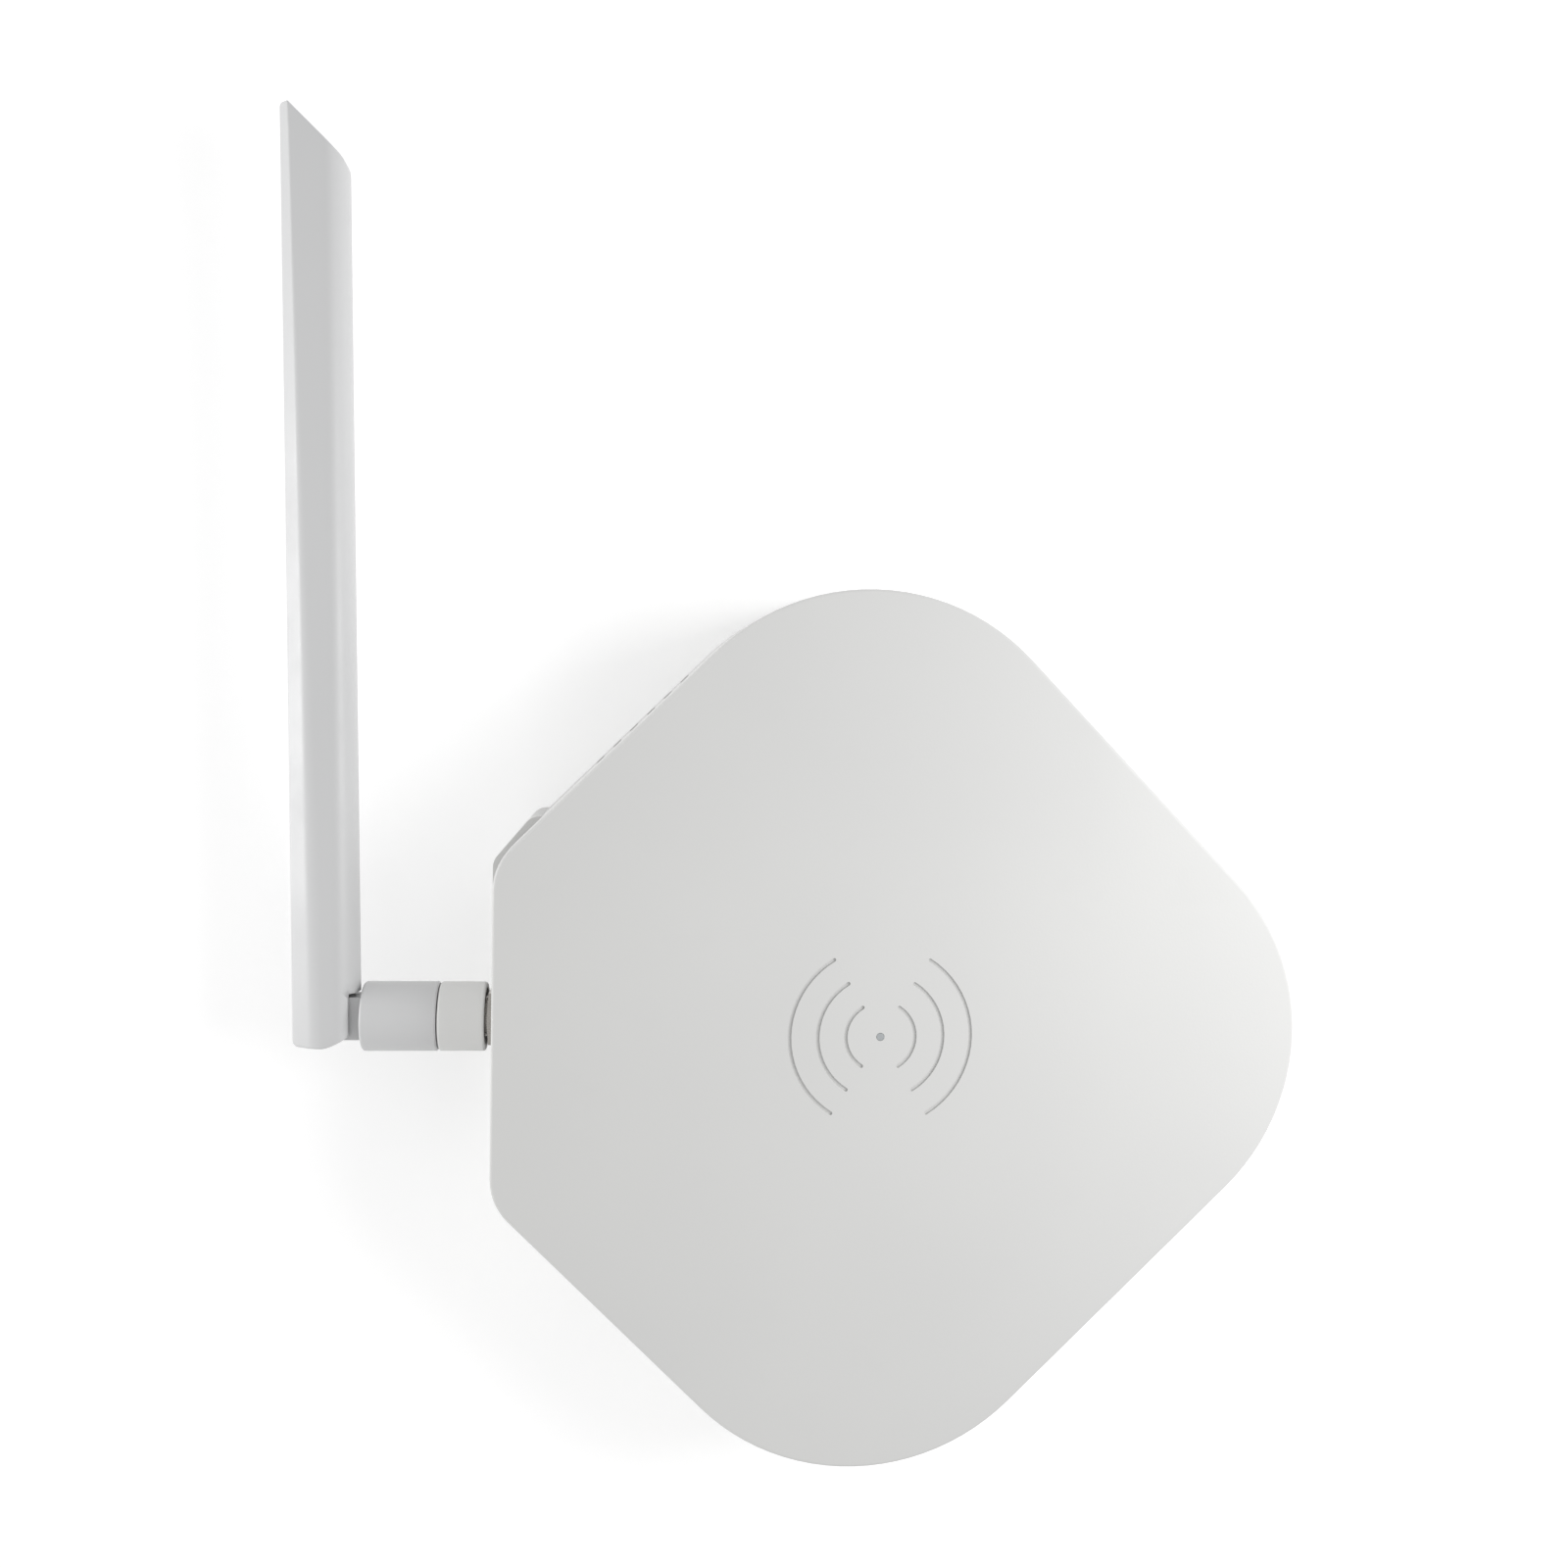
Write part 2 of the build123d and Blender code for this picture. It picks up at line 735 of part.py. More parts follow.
def antenna_sleeve():
    """Sleeve that turns on the spigot, with the flat tongue of the hinge."""
    start = seam_x - seam_gap / 2
    sleeve = bar(sleeve_end, start, base_radius)
    sleeve = fillet(sleeve.edges().filter_by(GeomType.CIRCLE).sort_by(Axis.X)[0], sleeve_edge_radius)
    sleeve = chamfer(sleeve.edges().filter_by(GeomType.CIRCLE).sort_by(Axis.X)[-1], seam_edge)
    low = axis_z - tongue_half
    high = axis_z + tongue_half
    sleeve += post(pivot_x, 0, low, high, tongue_radius)
    sleeve += block_of(pivot_x, sleeve_end + past, -tongue_radius, tongue_radius, low, high)
    room_end = spigot_end - 1.5
    sleeve -= bar(room_end, start + past, spigot_radius + running_gap)
    sleeve -= bar(room_end, spigot_end + 1.0 + running_gap, spigot_radius + spigot_flange + running_gap)
    sleeve -= bar(-78.6, spigot_end, ear_inside)
    sleeve -= block_of(pivot_x - 5, -78.3, -5, 5, axis_z - ear_inside, axis_z + ear_inside)
    return sleeve - post(pivot_x, 0, low - past, high + past, pin_radius + thread_play)


def base_lead():
    """Coax inside the sleeve."""
    return bar(lead_start, seam_x + collar_step + 0.1, lead_radius)


def blade_place(shape):
    """Moves a shape from the blade's own frame to its folded place."""
    return Pos(pivot_x, 0, axis_z) * Rot(0, 0, lean) * shape


def blade_outline():
    """Front view of the blade: slanted tip, straight sides, and the cheek about the pivot."""
    soft = left_corner_radius
    nook = soft * (1 - cos(radians(45)))
    cheek_mid = ((cheek_right + cheek_start_x) / 2 + 0.25, (cheek_low + blade_bottom) / 2 - 0.35)
    with BuildSketch() as outline:
        with BuildLine():
            Line((blade_left, blade_bottom + soft), (blade_left, blade_tip - soft))
            ThreePointArc((blade_left, blade_tip - soft), (blade_left + nook, blade_tip - nook),
                          (blade_left + soft, blade_tip))
            Line((blade_left + soft, blade_tip), (tip_peak_x, blade_tip))
            Line((tip_peak_x, blade_tip), tip_slope_end)
            Spline(tip_slope_end, (blade_top_right, tip_side_y), tangents=((1, -0.96), (0, -1)))
            Line((blade_top_right, tip_side_y), (blade_right, shoulder_y))
            Line((blade_right, shoulder_y), (cheek_right, shoulder_y - shoulder_drop))
            Line((cheek_right, shoulder_y - shoulder_drop), (cheek_right, cheek_low))
            ThreePointArc((cheek_right, cheek_low), cheek_mid, (cheek_start_x, blade_bottom))
            Line((cheek_start_x, blade_bottom), (blade_left + soft, blade_bottom))
            ThreePointArc((blade_left + soft, blade_bottom), (blade_left + nook, blade_bottom + nook),
                          (blade_left, blade_bottom + soft))
        make_face()
    return outline.sketch


def blade_section():
    """Cross-section: a bevelled left side, a slightly bowed face and a rounded right side."""
    left = blade_left - thread_play
    right = blade_right + thread_play
    shoulder_z = blade_half - bevel_down
    face_left = (blade_left + bevel_in, blade_half - face_bow)
    face_mid = (blade_mid, blade_half)
    face_right = (blade_right - 2.6, blade_half - 1.5 * face_bow)
    side_top = (right, 1.6)
    with BuildSketch() as section:
        with BuildLine():
            Line((left, 0), (left, shoulder_z))
            Line((left, shoulder_z), face_left)
            ThreePointArc(face_left, face_mid, face_right)
            Spline(face_right, side_top, tangents=((1, -0.2), (0, -1)))
            Line(side_top, (right, 0))
            Line((right, 0), (left, 0))
        make_face()
        mirror(about=Plane.XZ)
    return section.sketch


def rod_in_blade(y0, y1, radius):
    """A rod along the blade's bore."""
    return Pos(blade_mid, (y0 + y1) / 2, 0) * Rot(90, 0, 0) * Cylinder(radius, y1 - y0)


def antenna_blade():
    """Hollow paddle with two cheeks that straddle the tongue."""
    length = blade_tip - blade_bottom
    middle = (blade_bottom + blade_tip) / 2
    solid = Pos(0, 0, -blade_half - past) * extrude(blade_outline(), 2 * (blade_half + past))
    along = Plane(origin=(0, blade_bottom - past, 0), x_dir=(1, 0, 0), z_dir=(0, 1, 0))
    solid &= extrude(along * blade_section(), length + 2 * past)
    side = Plane.YZ * Pos(middle, 0) * RectangleRounded(length + 0.02, 2 * blade_half + 0.02, edge_soft)
    solid &= Pos(2 * blade_left, 0, 0) * extrude(side, 2 * (blade_right - blade_left))
    fork = Cylinder(fork_radius, 2 * fork_half)
    fork += block_of(-fork_radius, 12, -12, 0, -fork_half, fork_half)
    fork += block_of(0, 12, -12, fork_radius + 0.2, -fork_half, fork_half)
    pins = Cylinder(pin_radius, 2 * pin_outer)
    return blade_place(solid - rod_in_blade(bore_start, bore_end, bore_radius) - fork - pins)


def hinge_pins():
    """Two short pins, pressed into the cheeks, that leave the middle free for the lead."""
    inner = ear_inside + pin_relief
    pin = Cylinder(pin_radius, pin_outer - inner)
    place = (pin_outer + inner) / 2
    return group(blade_place(Pos(0, 0, side * place) * pin) for side in (1, -1))


def radiator_tube():
    """Brass tube round the lead: the lower half of the dipole."""
    low, high, outer, inner = dipole_tube
    return blade_place(rod_in_blade(low, high, outer) - rod_in_blade(low - past, high + past, inner))


def foam_spacer(y):
    """Foam ring that keeps the radiator from rattling."""
    hole = dipole_rod[2] + thread_play
    foam = rod_in_blade(y, y + foam_long, bore_radius - thread_play)
    return blade_place(foam - rod_in_blade(y - past, y + foam_long + past, hole))


def hinge_lead():
    """Coax where it bends over the hinge."""
    turn = radians(lean)
    corner = pivot_x + blade_mid * cos(turn)
    end_x = corner - lead_turn_end * sin(turn)
    end_y = blade_mid * sin(turn) + lead_turn_end * cos(turn)
    route = FilletPolyline((lead_start, 0, axis_z), (corner, 0, axis_z), (end_x, end_y, axis_z), radius=3.4)
    return sweep(Plane(origin=route @ 0, z_dir=route % 0) * Circle(lead_radius), path=route)


def bend_radii(points):
    """The largest tangent arc for each corner, 0.45 of its shorter run."""
    radii = []
    for before, corner, after in zip(points, points[1:], points[2:]):
        first = Vector(*corner) - Vector(*before)
        second = Vector(*after) - Vector(*corner)
        half = radians(first.get_angle(second)) / 2
        radii.append(0.45 * min(first.length, second.length) / tan(half))
    return radii


def pigtail():
    """Thin coax from the wall socket to the board."""
    radii = bend_radii(pigtail_route)
    route = FilletPolyline(*pigtail_route, radius=radii)
    tube = sweep(Plane(origin=route @ 0, z_dir=route % 0) * Circle(pigtail_radius), path=route)
    section = pi * pigtail_radius**2
    print("pigtail radii", [round(radius, 1) for radius in radii], "length", round(route.length, 2))
    print("pigtail volume", round(tube.volume, 3), "section x length", round(section * route.length, 3))
    return tube


def pigtail_plug():
    """Snap-on plug at the board end of the pigtail, with its socket under it."""
    end_x, end_y, end_z = pigtail_route[-1]
    last_x, last_y = pigtail_route[-2][:2]
    turn = atan2(end_y - last_y, end_x - last_x)
    reach = snap_radius + 0.2
    x = end_x + reach * cos(turn)
    y = end_y + reach * sin(turn)
    body = post(x, y, board_top, board_top + snap_tall, snap_radius)
    neck = Box(0.9, 2 * pigtail_radius + 0.3, 1.1)
    return body + Pos(x, y, end_z) * Rot(0, 0, degrees(turn)) * Pos(0.45 - reach, 0, 0) * neck


parts = {
    "top_cover": top_cover(),
    "bottom_case": bottom_case(),
    "base_plate": base_plate(),
    "rubber_foot": rubber_foot(),
    "rating_label": rating_label(),
    "case_screws": group(case_screw(x, y) for x, y in case_screw_places),
    "board_screws": group(board_screw(x, y) for x, y in board_screw_places),
    "status_light_pipe": status_light(),
    "status_led": chip(*status_led),
    "main_board": main_board(),
    "processor": chip(*processor),
    "thermal_pad": thermal_pad(),
    "heat_sink": heat_sink(),
    "memory_chip": chip(*memory_chip),
    "flash_chip": legged_chip(*flash_chip, 4),
    "radio_shield": shield_can(),
    "radio_chip": chip(*radio_chip),
    "crystal": chip(*crystal),
    "network_transformer": legged_chip(*transformer, 8),
    "power_inductor": power_inductor(),
    "power_capacitors": group(capacitor(x, y) for x, y in capacitor_places),
    "internal_antenna": internal_antenna(),
    "ethernet_shell": ethernet_shell(),
    "ethernet_insulator": ethernet_insulator(),
    "ethernet_contacts": group(ethernet_contact(index) for index in range(contact_count)),
    "usb_inlet": usb_inlet(),
    "usb_tongue": usb_tongue(),
    "reset_switch": reset_switch(),
    "reset_button": reset_button(),
    "antenna_jack": antenna_jack(),
    "jack_core": jack_core(),
    "jack_nut": jack_nut(),
    "jack_washer": jack_washer(),
    "pigtail": pigtail(),
    "pigtail_plug": pigtail_plug(),
    "coupling_nut": coupling_nut(),
    "antenna_plug": antenna_plug(),
    "antenna_collar": antenna_collar(),
    "antenna_sleeve": antenna_sleeve(),
    "base_lead": base_lead(),
    "hinge_lead": hinge_lead(),
    "hinge_pins": hinge_pins(),
    "antenna_blade": antenna_blade(),
    "blade_lead": blade_place(rod_in_blade(lead_turn_end, feed_y, lead_radius)),
    "radiator_tube": radiator_tube(),
    "radiator_rod": blade_place(rod_in_blade(*dipole_rod)),
    "foam_spacers": group(foam_spacer(y) for y in foam_places),
}

os.makedirs("parts", exist_ok=True)
for name, shape in parts.items():
    export_step(shape, f"parts/{name}.step")
print(len(parts), "nodes written")
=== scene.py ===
# %% [markdown]
# # A small wireless router with a folding paddle antenna
# The housing is a rounded square that stands on its corner, with one corner cut off flat for the
# ports. The antenna screws on there and is folded through a right angle, so it lies beside the
# housing. This lesson dresses the finished CAD frame: it keeps the parts whose shape is right,
# remakes the ones that deserve softer edges or finer detail, and gives each its own finish.

# %% Load the frame
import json
from math import cos, pi, radians, sin, sqrt, tan

import bmesh
import bpy
from mathutils import Matrix, Vector


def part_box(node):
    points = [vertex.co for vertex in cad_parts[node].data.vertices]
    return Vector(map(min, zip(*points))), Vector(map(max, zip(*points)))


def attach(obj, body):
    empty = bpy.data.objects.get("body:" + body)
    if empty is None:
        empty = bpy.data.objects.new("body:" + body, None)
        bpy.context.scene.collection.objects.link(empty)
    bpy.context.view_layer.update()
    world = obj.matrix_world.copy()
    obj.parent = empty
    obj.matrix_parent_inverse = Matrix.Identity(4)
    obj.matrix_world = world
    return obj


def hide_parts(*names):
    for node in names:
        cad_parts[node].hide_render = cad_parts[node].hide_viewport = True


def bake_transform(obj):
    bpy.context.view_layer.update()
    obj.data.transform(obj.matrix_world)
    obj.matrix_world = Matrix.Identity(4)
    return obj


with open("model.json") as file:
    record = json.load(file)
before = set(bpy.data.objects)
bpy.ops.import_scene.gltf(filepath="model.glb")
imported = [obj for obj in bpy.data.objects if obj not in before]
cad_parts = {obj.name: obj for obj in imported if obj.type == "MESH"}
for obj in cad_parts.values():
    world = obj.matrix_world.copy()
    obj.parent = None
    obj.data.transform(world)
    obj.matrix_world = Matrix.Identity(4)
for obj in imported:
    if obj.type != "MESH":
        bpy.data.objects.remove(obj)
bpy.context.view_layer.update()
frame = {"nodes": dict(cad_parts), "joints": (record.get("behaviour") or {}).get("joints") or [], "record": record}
MM = 0.001

# %% [markdown]
# ## Camera and light
# The view is almost straight down, from a quarter of a metre above the table, with the camera
# leaning a few degrees. A short distance is what makes the antenna, which lies lower than the top
# face, look smaller than it is. The lens and the sensor's width are in millimetres.

# %% Camera
camera_place = Vector((-34.08, 51.31, 240.93)) * MM
camera_turn = (radians(-3.816), radians(-5.534), radians(1.313))
lens = 33.75
sensor_width = 36.0
nearest_seen = 0.01

camera_data = bpy.data.cameras.new("studio_camera")
camera_data.lens = lens
camera_data.sensor_width = sensor_width
camera_data.clip_start = nearest_seen
camera = bpy.data.objects.new("studio_camera", camera_data)
camera.location = camera_place
camera.rotation_euler = camera_turn
bpy.context.scene.collection.objects.link(camera)
bpy.context.scene.camera = camera
print("camera height", round(camera_place.z, 3))

# %% [markdown]
# A near panel on the right, a low strip on the left and a pale sky for the rest. A panel that is
# near loses strength over the width of the housing, so the cover falls off gently towards its
# port side; a far one would light it evenly. The strip on the left is so low that it only reaches
# what faces it, such as the slanted edge of the antenna. The "Standard" view keeps near-whites
# white.

# %% Light
def panel(name, place, aim, size, power):
    """A square soft light that points at aim."""
    data = bpy.data.lights.new(name, "AREA")
    data.size = size
    data.energy = power
    lamp = bpy.data.objects.new(name, data)
    lamp.location = place
    lamp.rotation_euler = (Vector(aim) - Vector(place)).to_track_quat("-Z", "Y").to_euler()
    lamp.visible_camera = False
    bpy.context.scene.collection.objects.link(lamp)


panel("key_panel", place=(0.175, 0.055, 0.175), aim=(0.02, 0, 0.02), size=0.14, power=0.35)
panel("edge_strip", place=(-0.90, 0.04, 0.09), aim=(-0.08, 0.04, 0.015), size=0.35, power=4.8)
sky_strength = 0.70
sky = bpy.data.worlds.new("pale_sky")
sky.use_nodes = True
sky_light = sky.node_tree.nodes["Background"].inputs
sky_light["Color"].default_value = (1.0, 1.0, 1.0, 1.0)
sky_light["Strength"].default_value = sky_strength
bpy.context.scene.world = sky
bpy.context.scene.view_settings.view_transform = "Standard"

# %% [markdown]
# ## A small language for node graphs
# A material or a geometry tree is a graph of nodes. Writing each link by hand hides the idea, so
# one class wraps a socket and lets ordinary arithmetic add Math nodes, and one method makes every
# other node. Materials and geometry trees then share both.

# %% Graph helper
def pick(sockets, key):
    """A socket by its number, identifier or name."""
    if isinstance(key, int):
        return sockets[key]
    for socket in sockets:
        if socket.identifier == key:
            return socket
    return sockets[key]


class Wire:
    """One output socket, with arithmetic that adds Math nodes."""

    def __init__(self, graph, socket):
        self.graph = graph
        self.socket = socket

    def _math(self, operation, first, second):
        return self.graph.node("ShaderNodeMath", {"operation": operation}, {0: first, 1: second})

    def __add__(self, other):
        return self._math("ADD", self, other)

    def __radd__(self, other):
        return self._math("ADD", other, self)

    def __sub__(self, other):
        return self._math("SUBTRACT", self, other)

    def __rsub__(self, other):
        return self._math("SUBTRACT", other, self)

    def __mul__(self, other):
        return self._math("MULTIPLY", self, other)

    def __rmul__(self, other):
        return self._math("MULTIPLY", other, self)

    def __truediv__(self, other):
        return self._math("DIVIDE", self, other)

    def __gt__(self, other):
        return self._math("GREATER_THAN", self, other)


class Graph:
    """A node tree in the making."""

    tree = None

    def node(self, kind, settings=None, values=None, out=0):
        """Makes a node: its settings first, then its sockets' values or links."""
        made = self.tree.nodes.new(kind)
        for key, value in (settings or {}).items():
            setattr(made, key, value)
        for key, value in (values or {}).items():
            self.feed(pick(made.inputs, key), value)
        return Wire(self, pick(made.outputs, out))

    def feed(self, socket, value):
        """Links a wire or several, or sets a plain value."""
        if isinstance(value, Wire):
            self.tree.links.new(value.socket, socket)
        elif isinstance(value, list) and value and isinstance(value[0], Wire):
            for wire in value:
                self.tree.links.new(wire.socket, socket)
        elif socket.type == "RGBA" and len(value) == 3:
            socket.default_value = (*value, 1.0)
        else:
            socket.default_value = value


class Recipe(Graph):
    """A material in the making."""

    def __init__(self, name):
        self.material = bpy.data.materials.new(name)
        self.material.use_nodes = True
        self.tree = self.material.node_tree
        self.shader = self.tree.nodes["Principled BSDF"]

    def place(self):
        """Where a point is on the object, in metres."""
        return self.node("ShaderNodeTexCoord", out="Object")

    def axes(self, where):
        """The X, Y and Z of a place, as three wires."""
        split = self.node("ShaderNodeSeparateXYZ", None, {0: where})
        return [Wire(self, socket) for socket in split.socket.node.outputs]

    def noise(self, where, size, detail=3.0, rough=0.5):
        """Noise whose features are about size metres across."""
        values = {"Vector": where, "Scale": 1.0 / size, "Detail": detail, "Roughness": rough}
        return self.node("ShaderNodeTexNoise", None, values, "Fac")

    def cells(self, where, size):
        """Distance to the middle of the nearest of many cells, about size metres across."""
        values = {"Vector": where, "Scale": 1.0 / size}
        return self.node("ShaderNodeTexVoronoi", None, values, "Distance")

    def stretch(self, where, scale):
        """The same place with its axes scaled, for grain that runs one way."""
        return self.node("ShaderNodeVectorMath", {"operation": "MULTIPLY"}, {0: where, 1: scale})

    def fit(self, value, low, high, new_low, new_high):
        """Maps a range of values onto another, and holds it there."""
        values = {0: value, 1: low, 2: high, 3: new_low, 4: new_high}
        return self.node("ShaderNodeMapRange", {"clamp": True}, values)

    def blend(self, factor, first, second):
        """A colour between two colours."""
        values = {"Factor_Float": factor, "A_Color": first, "B_Color": second}
        return self.node("ShaderNodeMix", {"data_type": "RGBA"}, values, "Result_Color")

    def bump(self, height, distance, strength=1.0):
        """A bump of that real height in metres."""
        values = {"Height": height, "Distance": distance, "Strength": strength}
        return self.node("ShaderNodeBump", None, values)

    def finish(self, **sockets):
        """Sets the shader's own sockets, named with underscores for spaces."""
        for key, value in sockets.items():
            self.feed(self.shader.inputs[key.replace("_", " ")], value)
        return self.material


# %% [markdown]
# ## Moulded white plastic
# The cover, the case and the antenna are moulded in white plastic. The tool was spark-eroded, so
# the skin is a fine matte grain of about a third of a millimetre. Real mouldings are never one
# even white: the colour drifts slowly over the part, the gloss drifts with it, and handling leaves
# faint dull patches. Each of those is one noise at its own scale.

# %% White plastics
def moulded(name, colour, shade, roughness, grain, grain_height):
    """White moulded plastic: colour drift, gloss drift, and a fine grain in the skin."""
    make = Recipe(name)
    where = make.place()
    drift = make.noise(where, 60 * MM, 2.0)
    haze = make.noise(where, 9 * MM, 4.0, 0.6)
    skin = make.noise(where, grain, 2.0, 0.55)
    pores = make.cells(where, grain * 1.7)
    base = make.blend(make.fit(drift, 0.35, 0.65, 0.0, 1.0), colour, shade)
    base = make.blend(make.fit(haze, 0.55, 0.8, 0.0, 0.10), base, [c * 0.9 for c in shade])
    gloss = make.fit(haze, 0.3, 0.75, roughness - 0.05, roughness + 0.07) + (skin - 0.5) * 0.08
    relief = make.bump(skin * 0.7 + pores * 0.3, grain_height, 0.9)
    return make.finish(Base_Color=base, Roughness=gloss, Normal=relief, IOR=1.49,
                       Specular_IOR_Level=0.45)


cover_white = moulded("cover_plastic", colour=(0.625, 0.625, 0.616), shade=(0.605, 0.605, 0.598),
                      roughness=0.46, grain=0.34 * MM, grain_height=0.012 * MM)
case_white = moulded("case_plastic", colour=(0.62, 0.62, 0.611), shade=(0.595, 0.595, 0.588),
                     roughness=0.5, grain=0.42 * MM, grain_height=0.018 * MM)
antenna_white = moulded("antenna_plastic", colour=(0.610, 0.612, 0.615),
                        shade=(0.588, 0.590, 0.594),
                        roughness=0.40, grain=0.28 * MM, grain_height=0.008 * MM)
# The collar is the antenna's white plastic made lighter. That is painted light, making up for the shade the collar
# gets so close to the housing's wall.
collar_white_painted_light = moulded("collar_plastic_painted_light", colour=(0.74, 0.74, 0.728), shade=(0.715, 0.715, 0.704),
                       roughness=0.44, grain=0.30 * MM, grain_height=0.008 * MM)
print("white plastics made")

# %% [markdown]
# ## Finishes of the small parts
# Rubber, paper, metals, circuit board and black mouldings. Metals get their look from roughness
# more than from colour: drawn or plated metal carries fine streaks along the way it was made.

# %% Rubber, paper and black plastics
def soft_rubber():
    """Grey rubber that has picked up dust."""
    make = Recipe("soft_rubber")
    where = make.place()
    dust = make.noise(where, 5 * MM, 5.0, 0.65)
    skin = make.noise(where, 0.25 * MM, 3.0)
    dusty = make.fit(dust, 0.45, 0.75, 0.0, 0.55)
    base = make.blend(dusty, (0.14, 0.145, 0.15), (0.27, 0.27, 0.265))
    return make.finish(Base_Color=base, Roughness=make.fit(dust, 0.3, 0.8, 0.68, 0.9),
                       Normal=make.bump(skin, 0.02 * MM), IOR=1.52, Specular_IOR_Level=0.3)


def label_paper():
    """A blank paper label with one plain line just inside its border."""
    make = Recipe("label_paper")
    where = make.place()
    fibres = make.noise(make.stretch(where, (1.0, 0.25, 1.0)), 0.18 * MM, 4.0, 0.6)
    cloud = make.noise(where, 4 * MM, 2.0)
    worn = make.fit(fibres + cloud * 0.4, 0.4, 1.0, 0.0, 1.0)
    base = make.blend(worn, (0.78, 0.78, 0.76), (0.70, 0.70, 0.68))
    low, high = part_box("rating_label")
    rims = []
    for wire, start, end in zip(make.axes(where), low[:2], high[:2]):
        from_middle = wire - (start + end) / 2
        off_middle = make.node("ShaderNodeMath", {"operation": "ABSOLUTE"}, {0: from_middle})
        rims.append((end - start) / 2 - off_middle)
    rim = make.node("ShaderNodeMath", {"operation": "MINIMUM"}, {0: rims[0], 1: rims[1]})
    line_starts = make.fit(rim, 1.15 * MM, 1.25 * MM, 0.0, 1.0)
    line_ends = make.fit(rim, 1.45 * MM, 1.55 * MM, 1.0, 0.0)
    line = line_starts * line_ends
    base = make.blend(line * 0.8, base, (0.16, 0.17, 0.18))
    return make.finish(Base_Color=base, Roughness=make.fit(fibres, 0.3, 0.7, 0.55, 0.7),
                       Normal=make.bump(fibres, 0.006 * MM))


def black_moulding(name, colour, roughness, grain):
    """A dark moulding with some dust on it."""
    make = Recipe(name)
    where = make.place()
    skin = make.noise(where, grain, 3.0)
    dust = make.noise(where, 2.5 * MM, 4.0, 0.6)
    base = make.blend(make.fit(dust, 0.5, 0.85, 0.0, 0.35), colour, [c + 0.06 for c in colour])
    gloss = make.fit(dust, 0.3, 0.8, roughness - 0.06, roughness + 0.14)
    return make.finish(Base_Color=base, Roughness=gloss, Normal=make.bump(skin, 0.01 * MM))


# %% Metals
def metal(name, colour, roughness, way=(1.0, 1.0, 1.0), streak=0.12, tarnish=0.0):
    """Plated or drawn metal, with streaks along the axis that has the small number in way."""
    make = Recipe(name)
    where = make.place()
    lines = make.noise(make.stretch(where, way), 0.12 * MM, 3.0, 0.6)
    cloud = make.noise(where, 3 * MM, 4.0, 0.6)
    dull = [c * 0.62 for c in colour]
    base = make.blend(make.fit(cloud, 0.45, 0.75, 0.0, 0.25 + tarnish), colour, dull)
    streaks = make.fit(lines, 0.3, 0.7, roughness - streak / 2, roughness + streak / 2)
    gloss = streaks + (cloud - 0.5) * 0.1
    return make.finish(Base_Color=base, Metallic=1.0, Roughness=gloss,
                       Normal=make.bump(lines, 0.004 * MM, 0.6))


# %% [markdown]
# The circuit board is green lacquer over copper. Tracks run in bundles along the board's axes and
# stand a hair proud under the lacquer, so they show as paler green lines and as a faint relief.
# Wave functions make the bundles, and a slow noise decides where there are any.

# %% Board, light and the rest
def board_lacquer():
    """Green lacquer over bundles of copper tracks."""
    make = Recipe("board_lacquer")
    where = make.place()
    x, y = make.axes(where)[:2]
    pitch = 1.1 * MM
    across = make.node("ShaderNodeMath", {"operation": "PINGPONG"}, {0: x, 1: pitch})
    along = make.node("ShaderNodeMath", {"operation": "PINGPONG"}, {0: y, 1: pitch})
    region = make.noise(where, 14 * MM, 0.0)
    which = region > 0.5
    wave = across * which + along * (1.0 - which)
    lines = make.fit(wave, 0.30 * pitch, 0.42 * pitch, 1.0, 0.0)
    track = lines * make.fit(region, 0.36, 0.4, 0.0, 1.0)
    mottle = make.noise(where, 1.2 * MM, 3.0)
    patches = make.fit(mottle, 0.35, 0.65, 0.0, 1.0)
    green = make.blend(patches, (0.012, 0.10, 0.045), (0.018, 0.125, 0.06))
    base = make.blend(track * 0.75, green, (0.045, 0.24, 0.10))
    return make.finish(Base_Color=base, Roughness=make.fit(mottle, 0.3, 0.7, 0.22, 0.34),
                       Normal=make.bump(track + mottle * 0.15, 0.035 * MM),
                       Coat_Weight=0.4, Coat_Roughness=0.12)


def clear_pipe():
    """Cloudy clear plastic that carries the light of the status LED."""
    make = Recipe("light_pipe")
    where = make.place()
    cloud = make.noise(where, 0.5 * MM, 2.0)
    base = make.blend(cloud, (0.50, 0.53, 0.55), (0.62, 0.65, 0.66))
    return make.finish(Base_Color=base, Roughness=make.fit(cloud, 0.3, 0.7, 0.12, 0.24), IOR=1.49,
                       Transmission_Weight=0.35)


